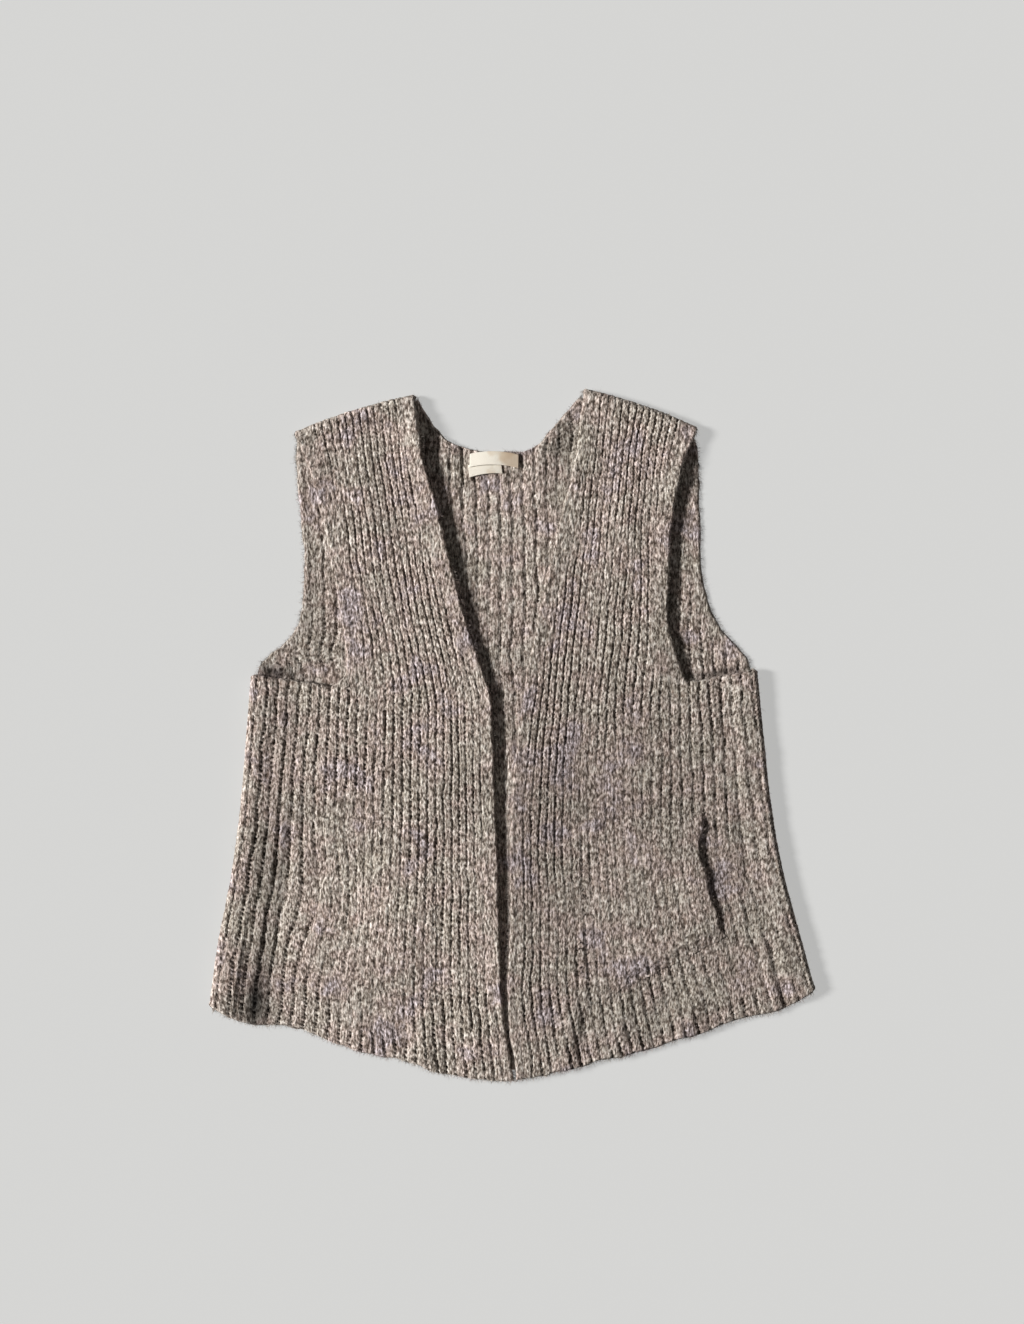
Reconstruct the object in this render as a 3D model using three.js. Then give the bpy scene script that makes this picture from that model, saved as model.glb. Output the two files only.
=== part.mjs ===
// Open-front rib-knit sweater vest, laid flat on its back.
// Millimetres, +X to the viewer's right, +Y towards the neck, +Z up.
import * as THREE from 'three';

// Cloth
const WALL = 2.5; // plain knit wall
const RIB = 1.5; // rise of a rib over the wall
const GAP = 0.35; // clearance between pieces
const FRONT_RIBS = 27; // ribs of a front, from its front edge to the side fold
const ARMHOLE_RIB = 18.3; // rib of a front where the armhole starts
const ARMHOLE_CORNER = 1.7; // ribs taken up by the rounded foot of the armhole
const BACK_RIBS = 42; // ribs across the back
const SELVEDGE = 15; // width of the flatter strip along the neck and armhole edges
const SELVEDGE_RELIEF = 0.3; // share of the rib height left at the very edge

// Folds at the sides and shoulders, where front and back meet
const FOLD_RADIUS = 2.8; // inner radius
const FOLD_SPAN = 3; // columns or rows that the fold takes
const FOLD_TURN = (150 * Math.PI) / 180;
const FOLD_INSET = FOLD_RADIUS + WALL + 0.7; // fold axis, in from the outline
const FOLD_HEIGHT = (FOLD_RADIUS + WALL) * Math.cos(Math.PI - FOLD_TURN) + 0.3;
const FOLD_EASE = 24; // width over which a panel rises to its fold
const BACK_INSET = FOLD_INSET - FOLD_RADIUS * Math.sin(FOLD_TURN) + 3 * GAP;
const SHOULDER_ROW = 34; // length of the last yoke row, along the ribs

// Heights
const FRONT_BASE = 5.9; // plain inner face of a front over the floor
const POCKET_WALL = 2;
const POCKET_RIB = 1.2;
const LABEL_THICKNESS = 0.7;
const EDGE_REACH = 16; // how far a lifted edge is felt

// Rows of a front from the hem to the underarm. The edge is the front edge, the side is the outline,
// bow is how far the middle of the row drops, lift is how far the front edge stands up.
const RIGHT_BODY = [
  { edgeX: 2.2, edgeY: -310.5, sideX: -272.5, sideY: -247, bow: 7, lift: 0.6 },
  { edgeX: -5.2, edgeY: -240, sideX: -264.5, sideY: -187, bow: 6, lift: 1 },
  { edgeX: -12, edgeY: -170, sideX: -252.8, sideY: -127, bow: 5, lift: 1.2 },
  { edgeX: -15, edgeY: -100, sideX: -244.5, sideY: -67, bow: 4, lift: 1.2 },
  { edgeX: -19, edgeY: -30, sideX: -239.5, sideY: -7, bow: 4, lift: 1.4 },
  { edgeX: -22, edgeY: 38, sideX: -234.5, sideY: 56, bow: 6, lift: 1.8 },
];
const LEFT_BODY = [
  { edgeX: 4.4, edgeY: -309.6, sideX: 273.5, sideY: -228, bow: 8, lift: 0.6 },
  { edgeX: -4, edgeY: -240, sideX: 256.8, sideY: -170, bow: 7, lift: 0.8 },
  { edgeX: -3.4, edgeY: -170, sideX: 241.8, sideY: -112, bow: 6, lift: 1 },
  { edgeX: -2.7, edgeY: -100, sideX: 232, sideY: -54, bow: 5, lift: 1 },
  { edgeX: 1.4, edgeY: -30, sideX: 226, sideY: 3, bow: 4, lift: 1 },
  { edgeX: 9.8, edgeY: 38, sideX: 220.2, sideY: 61, bow: 6, lift: 1.2 },
];

// The hem isn't even: its rise over the first row at every third rib, fading out above it.
const HEM_RIBS = 3;
const HEM_REACH = 1.2; // rows
const RIGHT_HEM = [1, -1.2, -2.6, -0.4, 3, 3.2, 6, 9.2, 2.6, 2].map((rise) => ({ rise }));
const LEFT_HEM = [1, 0.5, 1.3, 1.7, 0.8, 1, 0.6, 1.8, -1.6, -2].map((rise) => ({ rise }));

// Rows of a front from the underarm to the shoulder. The first row's armhole end is worked out from
// the body; first and last are the ribs at the neck edge and at the armhole.
const RIGHT_YOKE = [
  { neckX: -22, neckY: 38, armX: 0, armY: 0, first: 0, last: 18.3, neckLift: 1.8, armLift: 0.8 },
  { neckX: -36, neckY: 88, armX: -150.5, armY: 86, first: 1, last: 18.3, neckLift: 2, armLift: 0.8 },
  { neckX: -47.5, neckY: 127, armX: -155.5, armY: 119, first: 1.7, last: 18.5, neckLift: 2.6, armLift: 0.8 },
  { neckX: -57, neckY: 165, armX: -161.5, armY: 150, first: 2.3, last: 18.8, neckLift: 3, armLift: 1 },
  { neckX: -66.5, neckY: 205, armX: -168.5, armY: 187, first: 3, last: 19.3, neckLift: 3.6, armLift: 1.4 },
  { neckX: -78, neckY: 243, armX: -176.5, armY: 220, first: 3.6, last: 19.8, neckLift: 5.6, armLift: 2 },
  { neckX: -83, neckY: 272, armX: -184.5, armY: 246, first: 4, last: 20.3, neckLift: 7, armLift: 2 },
  { neckX: -87.3, neckY: 307.8, armX: -195, armY: 272.7, first: 4.3, last: 20.8, neckLift: 4, armLift: 0.5 },
];
const LEFT_YOKE = [
  { neckX: 9.8, neckY: 38, armX: 0, armY: 0, first: 0, last: 18.3, neckLift: 1.2, armLift: 1.4 },
  { neckX: 19, neckY: 87, armX: 141.7, armY: 88, first: 1, last: 18.3, neckLift: 1.4, armLift: 2 },
  { neckX: 27, neckY: 127, armX: 139.5, armY: 122, first: 1.7, last: 18.5, neckLift: 1.6, armLift: 2.4 },
  { neckX: 35, neckY: 163, armX: 140, armY: 152, first: 2.3, last: 18.8, neckLift: 1.8, armLift: 2.4 },
  { neckX: 44.5, neckY: 200, armX: 142.8, armY: 188, first: 3, last: 19.3, neckLift: 1.8, armLift: 2.4 },
  { neckX: 53, neckY: 235, armX: 149, armY: 221, first: 3.6, last: 19.8, neckLift: 1.8, armLift: 2.6 },
  { neckX: 59, neckY: 267, armX: 155.3, armY: 248, first: 4, last: 20.3, neckLift: 1.6, armLift: 2.6 },
  { neckX: 65, neckY: 313, armX: 166.5, armY: 277.5, first: 4.3, last: 20.8, neckLift: 0.6, armLift: 0.8 },
];

// Soft ridges and troughs: middle, half length along the turned axis, half width, turn, height.
const RIGHT_SWELLS = [
  { x: -97, y: -278, along: 24, across: 6, turn: 96, height: -1.4 },
  { x: -77, y: -284, along: 26, across: 7, turn: 96, height: 2.2 },
  { x: -58, y: -286, along: 26, across: 6, turn: 94, height: -1.3 },
  { x: -34, y: -272, along: 44, across: 8, turn: 104, height: 2 },
  { x: -140, y: -268, along: 30, across: 14, turn: 100, height: 2.2 },
  { x: -150, y: -40, along: 70, across: 40, turn: 80, height: 1.6 },
  { x: -128, y: 200, along: 60, across: 18, turn: 100, height: 1.8 },
];
const LEFT_SWELLS = [
  { x: 66, y: -262, along: 36, across: 6, turn: 84, height: -1.4 },
  { x: 50, y: -276, along: 30, across: 8, turn: 84, height: 2.4 },
  { x: 96, y: -258, along: 34, across: 9, turn: 80, height: 2.4 },
  { x: 130, y: -262, along: 26, across: 8, turn: 76, height: -1.2 },
  { x: 160, y: -248, along: 30, across: 9, turn: 72, height: 2 },
  { x: 120, y: -20, along: 70, across: 34, turn: 95, height: 1.6 },
  { x: 100, y: 190, along: 60, across: 16, turn: 82, height: 1.6 },
];

// A long trough runs down inside each side fold.
const SIDE_TROUGH = { inset: 33, width: 10, depth: 1.4 };

const RIGHT_FRONT = { body: RIGHT_BODY, hem: RIGHT_HEM, yoke: RIGHT_YOKE, swells: RIGHT_SWELLS };
const LEFT_FRONT = { body: LEFT_BODY, hem: LEFT_HEM, yoke: LEFT_YOKE, swells: LEFT_SWELLS };
const BODY_END = RIGHT_BODY.length - 1;
const YOKE_END = BODY_END + RIGHT_YOKE.length - 1;

// Rows of the back over the underarm. bend shapes the drop of the middle, a negative drop rises.
const BACK_YOKE = [
  { leftX: -216, leftY: 74, rightX: 203.5, rightY: 79, leftRib: 1.9, rightRib: 41, drop: 8, bend: 1.5 },
  { leftX: -196, leftY: 93.5, rightX: 187.5, rightY: 97, leftRib: 3.4, rightRib: 39.7, drop: 4, bend: 2 },
  { leftX: -188.7, leftY: 114.5, rightX: 177.3, rightY: 118, leftRib: 4.1, rightRib: 38.5, drop: 0, bend: 2 },
  { leftX: -186.8, leftY: 140.4, rightX: 171.3, rightY: 145, leftRib: 4.4, rightRib: 37.9, drop: 0, bend: 2 },
  { leftX: -188, leftY: 176.4, rightX: 169.8, rightY: 176, leftRib: 4.4, rightRib: 37.8, drop: -3, bend: 2 },
  { leftX: -190.8, leftY: 210, rightX: 168.8, rightY: 206, leftRib: 4.4, rightRib: 37.7, drop: -9, bend: 2 },
  { leftX: -193.6, leftY: 238, rightX: 168, rightY: 234, leftRib: 4.3, rightRib: 37.7, drop: -20, bend: 2 },
];
const BACK_DROP = [66, 60, 51, 41, 30, 19]; // drop of the middle of each body row
const BACK_HEM_SHORT = 0.08; // rows by which the back is shorter than the fronts
const BACK_BODY_BEND = 1.25;

// Rows of the back's two shoulders, from the foot of the neckline up.
const BACK_RIGHT_SHOULDER = [
  { neckX: -46, neckY: 260.5, neckRib: 17.9, armX: -194.6, armY: 245, armRib: 4.3 },
  { neckX: -60, neckY: 266.5, neckRib: 16.7, armX: -194.6, armY: 250, armRib: 4.3 },
  { neckX: -70, neckY: 279, neckRib: 15.7, armX: -194.4, armY: 257, armRib: 4.3 },
  { neckX: -83.6, neckY: 302, neckRib: 14.2, armX: -193.4, armY: 266.3, armRib: 4.3 },
];
const BACK_LEFT_SHOULDER = [
  { neckX: 24.5, neckY: 263, neckRib: 24.2, armX: 167.8, armY: 241, armRib: 37.7 },
  { neckX: 33.3, neckY: 273.6, neckRib: 25, armX: 167.6, armY: 247, armRib: 37.7 },
  { neckX: 45, neckY: 287, neckRib: 26.1, armX: 167, armY: 255, armRib: 37.7 },
  { neckX: 61.6, neckY: 305, neckRib: 27.7, armX: 165.2, armY: 267.5, armRib: 37.7 },
];
const NECK_RIGHT_RIB = 19.5; // ribs where the neckline's flat foot ends
const NECK_LEFT_RIB = 23.1;
const BACK_SWELLS = [
  { x: -56, y: 262, along: 22, across: 9, turn: 96, height: 2.6 },
  { x: 24, y: 248, along: 30, across: 11, turn: 78, height: 1.8 },
];
const BACK_FLAT_SWELL = 0.15; // lower swells leave the back flat on the floor

// Patch pockets: ribs and rows of their corners on the front. lip is the rise of the open side, and
// bend the number of ribs by which that side curves towards the front edge.
const POCKET_LIP_FROM = 0.75; // share of the width where the open side starts to rise
const RIGHT_POCKET = {
  innerTop: { rib: 8, row: 3.32 }, outerTop: { rib: 20, row: 3.12 },
  innerFoot: { rib: 7.6, row: 0.9 }, outerFoot: { rib: 21, row: 0.98 }, lip: 1.2, bend: 0.9,
};
const LEFT_POCKET = {
  innerTop: { rib: 8.1, row: 3.26 }, outerTop: { rib: 21.3, row: 2.98 },
  innerFoot: { rib: 8.4, row: 0.76 }, outerFoot: { rib: 21.4, row: 1.08 }, lip: 1.6, bend: 0.9,
};

// Labels on the back's neck edge: corner, size, rise of the middle, turn and height over the ribs
const NECK_LABEL = { x: -16, y: 247, width: 44, height: 12, arch: 2.6, turn: -1, over: 1.42 };
const SIZE_LABEL = { x: -24, y: 239.5, width: 30, height: 11, arch: 1.5, turn: 5, over: 0.35 };

const clamp = THREE.MathUtils.clamp;
const lerp = THREE.MathUtils.lerp;

function ease(t) {
  const s = clamp(t, 0, 1);
  return s * s * (3 - 2 * s);
}

// A smooth curve through one column of a table, at row position v.
function column(rows, name, v) {
  const last = rows.length - 1;
  const i = clamp(Math.floor(v), 0, last - 1);
  const t = v - i;
  const at = (k) => rows[clamp(k, 0, last)][name];
  const before = i > 0 ? at(i - 1) : 2 * at(0) - at(1);
  const after = i + 2 <= last ? at(i + 2) : 2 * at(last) - at(last - 1);
  const slopeIn = (at(i + 1) - before) / 2;
  const slopeOut = (after - at(i)) / 2;
  const t2 = t * t;
  const t3 = t2 * t;
  return (2 * t3 - 3 * t2 + 1) * at(i) + (t3 - 2 * t2 + t) * slopeIn
    + (3 * t2 - 2 * t3) * at(i + 1) + (t3 - t2) * slopeOut;
}

function swellHeight(swells, x, y) {
  let sum = 0;
  for (const swell of swells) {
    const turn = THREE.MathUtils.degToRad(swell.turn);
    const dx = x - swell.x;
    const dy = y - swell.y;
    const a = (dx * Math.cos(turn) + dy * Math.sin(turn)) / swell.along;
    const b = (dy * Math.cos(turn) - dx * Math.sin(turn)) / swell.across;
    sum += swell.height * Math.exp(-a * a - b * b);
  }
  return sum;
}

// Rib relief from 0 in a furrow, at whole numbers, to 1 on a crest.
function ribShape(u) {
  return 0.5 - 0.5 * Math.cos(2 * Math.PI * u);
}

// Ribs lie closer together near the front edge than at the side.
function bodyCrowding(v) {
  return lerp(0.8, 0.72, clamp(v / BODY_END, 0, 1));
}

function bodyPlan(front, u, v) {
  const at = (name) => column(front.body, name, v);
  const edge = new THREE.Vector2(at('edgeX'), at('edgeY'));
  const side = new THREE.Vector2(at('sideX'), at('sideY'));
  const length = edge.distanceTo(side);
  const rib = Math.min(u, FRONT_RIBS);
  const t = rib / FRONT_RIBS;
  const k = bodyCrowding(v);
  const share = t * (k + (1 - k) * t) * (1 - FOLD_INSET / length);
  const point = edge.clone().lerp(side, share);
  point.y -= at('bow') * 4 * share * (1 - share);
  point.y += column(front.hem, 'rise', rib / HEM_RIBS) * clamp(1 - v / HEM_REACH, 0, 1) ** 2;
  const along = side.clone().sub(edge).normalize();
  return { point, along, fromEdge: length * share, fromSide: length * (1 - share), share };
}

// The yoke's first row repeats the body's last one, up to the armhole.
function yokeRows(front) {
  const { point } = bodyPlan(front, ARMHOLE_RIB, BODY_END);
  const [first, ...rest] = front.yoke;
  return [{ ...first, armX: point.x, armY: point.y }, ...rest];
}

function yokePlan(front, u, v) {
  const rows = yokeRows(front);
  const at = (name) => column(rows, name, v - BODY_END);
  const neck = new THREE.Vector2(at('neckX'), at('neckY'));
  const arm = new THREE.Vector2(at('armX'), at('armY'));
  const t = (u - at('first')) / (at('last') - at('first'));
  const part = ARMHOLE_RIB / FRONT_RIBS;
  const crowding = bodyCrowding(BODY_END);
  const start = crowding / (crowding + (1 - crowding) * part);
  const rise = clamp((v - BODY_END) / (YOKE_END - BODY_END), 0, 1);
  const k = lerp(start, 1, ease(rise * 2));
  const share = t * (k + (1 - k) * t);
  const point = neck.clone().lerp(arm, share);
  const foot = bodyPlan(front, ARMHOLE_RIB, BODY_END).share;
  const bow = column(front.body, 'bow', BODY_END) * foot * foot;
  point.y -= lerp(bow, -3, ease(rise)) * 4 * share * (1 - share);
  const width = neck.distanceTo(arm);
  return { point, fromNeck: width * share, fromArm: width * (1 - share) };
}

// Last rib of a front at row v, with the rounded foot of the armhole.
function armholeRib(front, v) {
  const corner = clamp(1 - (v - BODY_END) / 0.5, 0, 1);
  return column(front.yoke, 'last', v - BODY_END) + ARMHOLE_CORNER * corner ** 2.5;
}

function selvedgeRelief(distance) {
  return lerp(SELVEDGE_RELIEF, 1, ease(distance / SELVEDGE));
}

function edgeLift(lift, distance) {
  return lift * Math.exp(-((distance / EDGE_REACH) ** 2));
}

function crownHeight(height, distance) {
  return lerp(FOLD_HEIGHT + FOLD_RADIUS, height, ease(distance / FOLD_EASE));
}

// A point of a fold: how far it is carried out from the fold's axis, its height and its normal.
function foldPoint(step) {
  const angle = (step / FOLD_SPAN) * FOLD_TURN;
  const out = Math.sin(angle);
  const up = Math.cos(angle);
  return { out, up, fade: 1 - ease(angle / FOLD_TURN) };
}

// Inner point, normal and rib relief of a front between hem and underarm.
function bodyFrame(front, u, v) {
  const { point, along, fromEdge, fromSide } = bodyPlan(front, u, v);
  const step = Math.max(0, u - FRONT_RIBS);
  const fold = foldPoint(step);
  const trough = (fromSide - SIDE_TROUGH.inset) / SIDE_TROUGH.width;
  let height = FRONT_BASE + swellHeight(front.swells, point.x, point.y);
  height += edgeLift(column(front.body, 'lift', v), fromEdge);
  height -= SIDE_TROUGH.depth * Math.exp(-trough * trough);
  height = crownHeight(Math.max(height, WALL + RIB + GAP), fromSide - FOLD_INSET);
  if (step > 0) {
    height = FOLD_HEIGHT + FOLD_RADIUS * fold.up;
  }
  const carried = FOLD_RADIUS * fold.out;
  const inner = new THREE.Vector3(point.x + along.x * carried, point.y + along.y * carried, height);
  const normal = new THREE.Vector3(along.x * fold.out, along.y * fold.out, fold.up);
  const relief = Math.min(1, lerp(0.5, 1, ease(fromEdge / SELVEDGE))) * fold.fade;
  const rib = Math.min(u, FRONT_RIBS) + step / FOLD_SPAN;
  return { inner, normal, relief: relief * ribShape(rib) };
}

// The same for a front between underarm and shoulder.
function yokeFrame(front, u, v) {
  const step = Math.max(0, v - YOKE_END);
  const fold = foldPoint(step);
  const lastStart = YOKE_END - 1;
  const stretch = 1 - FOLD_INSET / SHOULDER_ROW;
  let row = Math.min(v, YOKE_END);
  if (row > lastStart) {
    row = lastStart + (row - lastStart) * stretch;
  }
  const fromShoulder = (YOKE_END - row) * SHOULDER_ROW;
  const { point, fromNeck, fromArm } = yokePlan(front, u, row);
  const before = yokePlan(front, u, row - 0.2).point;
  const along = point.clone().sub(before).normalize();
  const at = (name) => column(front.yoke, name, row - BODY_END);
  const lift = edgeLift(at('neckLift'), fromNeck) + edgeLift(at('armLift'), fromArm);
  let height = FRONT_BASE + swellHeight(front.swells, point.x, point.y) + lift;
  height = crownHeight(Math.max(height, WALL + RIB + GAP), fromShoulder - FOLD_INSET);
  if (step > 0) {
    height = FOLD_HEIGHT + FOLD_RADIUS * fold.up;
  }
  const carried = FOLD_RADIUS * fold.out;
  const inner = new THREE.Vector3(point.x + along.x * carried, point.y + along.y * carried, height);
  const normal = new THREE.Vector3(along.x * fold.out, along.y * fold.out, fold.up);
  const neckRelief = lerp(0.5, selvedgeRelief(fromNeck), ease(v - BODY_END));
  const edges = fromNeck < SELVEDGE ? neckRelief : 1;
  const relief = Math.min(edges, selvedgeRelief(fromArm + SELVEDGE * ease(1 - (v - BODY_END) * 2)));
  return { inner, normal, relief: relief * fold.fade * ribShape(u) };
}

function frontFrame(front, u, v) {
  return v <= BODY_END ? bodyFrame(front, u, v) : yokeFrame(front, u, v);
}

function frontSurface(front) {
  return (u, v, outer) => {
    const { inner, normal, relief } = frontFrame(front, u, v);
    return inner.addScaledVector(normal, outer ? WALL + RIB * relief : 0);
  };
}

// A pocket's own share across a and along b, from its inner foot, laid over the front.
function pocketSurface(front, pocket) {
  return (a, b, outer) => {
    const foot = lerp(pocket.innerFoot.rib, pocket.outerFoot.rib, a);
    const top = lerp(pocket.innerTop.rib, pocket.outerTop.rib, a);
    const footRow = lerp(pocket.innerFoot.row, pocket.outerFoot.row, a);
    const topRow = lerp(pocket.innerTop.row, pocket.outerTop.row, a);
    const u = lerp(foot, top, b) - pocket.bend * 4 * b * (1 - b) * a ** 3;
    const { inner, normal } = frontFrame(front, u, lerp(footRow, topRow, b));
    const standing = ease((a - POCKET_LIP_FROM) / (1 - POCKET_LIP_FROM));
    const lip = pocket.lip * standing * Math.sin(Math.PI * clamp(b, 0, 1));
    const edge = Math.min(a, 1 - a, b * 1.4, (1 - b) * 1.4);
    const relief = lerp(0.35, 1, ease(edge / 0.1)) * ribShape(u);
    const lower = WALL + RIB + 2 * GAP + lip;
    return inner.addScaledVector(normal, outer ? lower + POCKET_WALL + POCKET_RIB * relief : lower);
  };
}

// A point on the floor just inside a front's side fold, at row v.
function insideFold(front, v) {
  const { along } = bodyPlan(front, FRONT_RIBS, v);
  const side = new THREE.Vector2(column(front.body, 'sideX', v), column(front.body, 'sideY', v));
  return side.addScaledVector(along, -BACK_INSET);
}

// The body rows of the back follow the fronts' side folds.
function backBodyRow(i) {
  const v = i === 0 ? BACK_HEM_SHORT : i;
  const left = insideFold(RIGHT_FRONT, v);
  const right = insideFold(LEFT_FRONT, v);
  return {
    leftX: left.x, leftY: left.y, rightX: right.x, rightY: right.y,
    leftRib: 0, rightRib: BACK_RIBS, drop: BACK_DROP[i], bend: BACK_BODY_BEND,
  };
}

const BACK_ROWS = [...RIGHT_BODY.map((row, i) => backBodyRow(i)), ...BACK_YOKE];
const NECK_ROW = BACK_ROWS.length - 1;

function backPlan(u, v) {
  const at = (name) => column(BACK_ROWS, name, v);
  const t = (u - at('leftRib')) / (at('rightRib') - at('leftRib'));
  const drop = at('drop') * (1 - Math.abs(2 * t - 1) ** at('bend'));
  return new THREE.Vector2(lerp(at('leftX'), at('rightX'), t), lerp(at('leftY'), at('rightY'), t) - drop);
}

// Shoulder rows are eased out of the neck row, which arches between the armholes.
function shoulderPlan(rows, u, v) {
  const at = (name) => column(rows, name, v - NECK_ROW - 1);
  const t = (u - at('armRib')) / (at('neckRib') - at('armRib'));
  const rise = at('neckY') - at('armY');
  const arch = lerp(0.55, 0.12, clamp((v - NECK_ROW) / rows.length, 0, 1));
  return new THREE.Vector2(lerp(at('armX'), at('neckX'), t),
    lerp(at('armY'), at('neckY'), t) + rise * arch * 2 * t * (1 - t));
}

function backFrame(rows, u, v) {
  const plan = v <= NECK_ROW ? backPlan(u, v) : shoulderPlan(rows, u, v);
  const height = swellHeight(BACK_SWELLS, plan.x, plan.y);
  const base = Math.max(0, height - BACK_FLAT_SWELL);
  return { inner: new THREE.Vector3(plan.x, plan.y, base), relief: ribShape(u) };
}

function backSurface(u, v, outer, rows) {
  const { inner, relief } = backFrame(rows, u, v);
  inner.z += outer ? WALL + RIB * relief : 0;
  return inner;
}

function labelSurface(label) {
  return (a, b, outer) => {
    const x = (a - 0.5) * label.width;
    const y = (b - 0.5) * label.height + label.arch * (1 - (2 * a - 1) ** 2);
    const turn = THREE.MathUtils.degToRad(label.turn);
    const px = label.x + x * Math.cos(turn) - y * Math.sin(turn);
    const py = label.y + x * Math.sin(turn) + y * Math.cos(turn);
    const base = WALL + RIB + label.over + swellHeight(BACK_SWELLS, px, py);
    return new THREE.Vector3(px, py, base + (outer ? LABEL_THICKNESS : 0));
  };
}

// Column positions of a row: its ends, and every whole step between them.
function columns(from, to, step) {
  const list = [from];
  for (let k = Math.ceil(from / step); k * step < to; k += 1) {
    if (k * step - from > step * 0.25 && to - k * step > step * 0.25) {
      list.push(k * step);
    }
  }
  list.push(to);
  return list;
}

// One face of a wall. Rows may differ in width; each pair is joined by walking along both.
// Columns beyond foldFrom stay fine, as the cloth turns there.
function layer(strips, step, coarse) {
  const triangles = [];
  for (const strip of strips) {
    const rows = strip.rows.map((row) => {
      const flatEnd = Math.min(row.to, strip.foldFrom ?? Infinity);
      const list = columns(row.from, flatEnd, row.rim ? step : coarse);
      if (row.to > flatEnd) {
        list.push(...columns(flatEnd, row.to, step).slice(1));
      }
      return list.map((u) => ({ u, v: row.v, table: strip.table }));
    });
    for (let r = 0; r + 1 < rows.length; r += 1) {
      let i = 0;
      let j = 0;
      const low = rows[r];
      const high = rows[r + 1];
      while (i + 1 < low.length || j + 1 < high.length) {
        const lowNext = i + 1 < low.length ? low[i + 1].u : Infinity;
        const highNext = j + 1 < high.length ? high[j + 1].u : Infinity;
        if (lowNext <= highNext) {
          triangles.push([low[i], low[i + 1], high[j]]);
          i += 1;
        } else {
          triangles.push([low[i], high[j + 1], high[j]]);
          j += 1;
        }
      }
    }
  }
  return triangles;
}

// A closed wall: an outer face, a plainer inner face and a rim round every edge.
function wall(name, colour, roughness, strips, surface, step, coarse) {
  const positions = [];
  const indices = [];
  const known = new Map();
  const vertex = (point, outer) => {
    const key = `${outer} ${point.u.toFixed(4)} ${point.v.toFixed(4)}`;
    if (!known.has(key)) {
      const place = surface(point.u, point.v, outer, point.table);
      known.set(key, positions.length / 3);
      positions.push(place.x, place.y, place.z);
    }
    return known.get(key);
  };
  const edges = new Map();
  for (const triangle of layer(strips, step, step)) {
    const [a, b, c] = triangle.map((point) => vertex(point, true));
    indices.push(a, b, c);
    [[0, 1], [1, 2], [2, 0]].forEach(([p, q]) => {
      edges.set(`${vertex(triangle[p], true)} ${vertex(triangle[q], true)}`, [triangle[p], triangle[q]]);
    });
  }
  for (const triangle of layer(strips, step, coarse)) {
    const [a, b, c] = triangle.map((point) => vertex(point, false));
    indices.push(a, c, b);
  }
  for (const [key, [p, q]] of edges) {
    const [a, b] = key.split(' ');
    if (!edges.has(`${b} ${a}`)) {
      indices.push(vertex(q, true), vertex(p, true), vertex(p, false));
      indices.push(vertex(q, true), vertex(p, false), vertex(q, false));
    }
  }
  return solid(name, colour, roughness, positions, indices);
}

function volume(positions, indices) {
  let sum = 0;
  const corner = (k) => new THREE.Vector3().fromArray(positions, indices[k] * 3);
  for (let k = 0; k < indices.length; k += 3) {
    sum += corner(k).dot(corner(k + 1).cross(corner(k + 2))) / 6;
  }
  return sum;
}

function solid(name, colour, roughness, positions, indices) {
  if (volume(positions, indices) < 0) {
    for (let k = 0; k < indices.length; k += 3) {
      [indices[k + 1], indices[k + 2]] = [indices[k + 2], indices[k + 1]];
    }
  }
  const geometry = new THREE.BufferGeometry();
  geometry.setAttribute('position', new THREE.Float32BufferAttribute(positions, 3));
  geometry.setIndex(indices);
  geometry.computeVertexNormals();
  const mesh = new THREE.Mesh(geometry, new THREE.MeshStandardMaterial({ color: colour, roughness }));
  mesh.name = name;
  return mesh;
}

const WOOL = 0x94887c;
const WOOL_ROUGHNESS = 0.95;
const COTTON = 0xe6dcc4;
const COTTON_ROUGHNESS = 0.85;

// Rows and columns at which the walls have corners
const BODY_ROWS = [0, 0.15, 0.4, 0.75, 1.2, 1.7, 2.3, 3, 3.7, 4.3, 4.7, 5];
const YOKE_ROWS = [5.08, 5.2, 5.4, 5.8, 6.4, 7.1, 8, 9, 10, 10.7, 11.4, 12];
const SHOULDER_STEPS = [0.6, 1.2, 1.8, 2.4, 3];
const RIB_STEP = 0.5; // ribs, on an outer face
const COARSE_RIBS = 3; // ribs, on an inner face
const POCKET_ROWS = [0, 0.06, 0.25, 0.5, 0.75, 0.94, 1];
const POCKET_STEP = 1 / 24; // share of a pocket's width
const LABEL_STEP = 1 / 10;

function frontPanel(name, front) {
  const edgeRows = new Set([0, BODY_END]);
  const body = BODY_ROWS.map((v) => ({ v, from: 0, to: FRONT_RIBS + FOLD_SPAN, rim: edgeRows.has(v) }));
  const top = YOKE_END + FOLD_SPAN;
  const yokeList = [BODY_END, ...YOKE_ROWS, ...SHOULDER_STEPS.map((s) => YOKE_END + s)];
  const yoke = yokeList.map((v) => {
    const row = Math.min(v, YOKE_END);
    const from = column(front.yoke, 'first', row - BODY_END);
    return { v, from, to: armholeRib(front, row), rim: v === BODY_END || v === top };
  });
  const strips = [{ rows: body, foldFrom: FRONT_RIBS }, { rows: yoke }];
  return wall(name, WOOL, WOOL_ROUGHNESS, strips, frontSurface(front), RIB_STEP, COARSE_RIBS);
}

function shoulderRows(table, from, to) {
  const rows = table.map((row, i) => {
    const [low, high] = [row.armRib, row.neckRib].sort((a, b) => a - b);
    return { v: NECK_ROW + 1 + i, from: low, to: high, rim: i === table.length - 1 };
  });
  return [{ v: NECK_ROW, from, to, rim: true }, ...rows];
}

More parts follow.
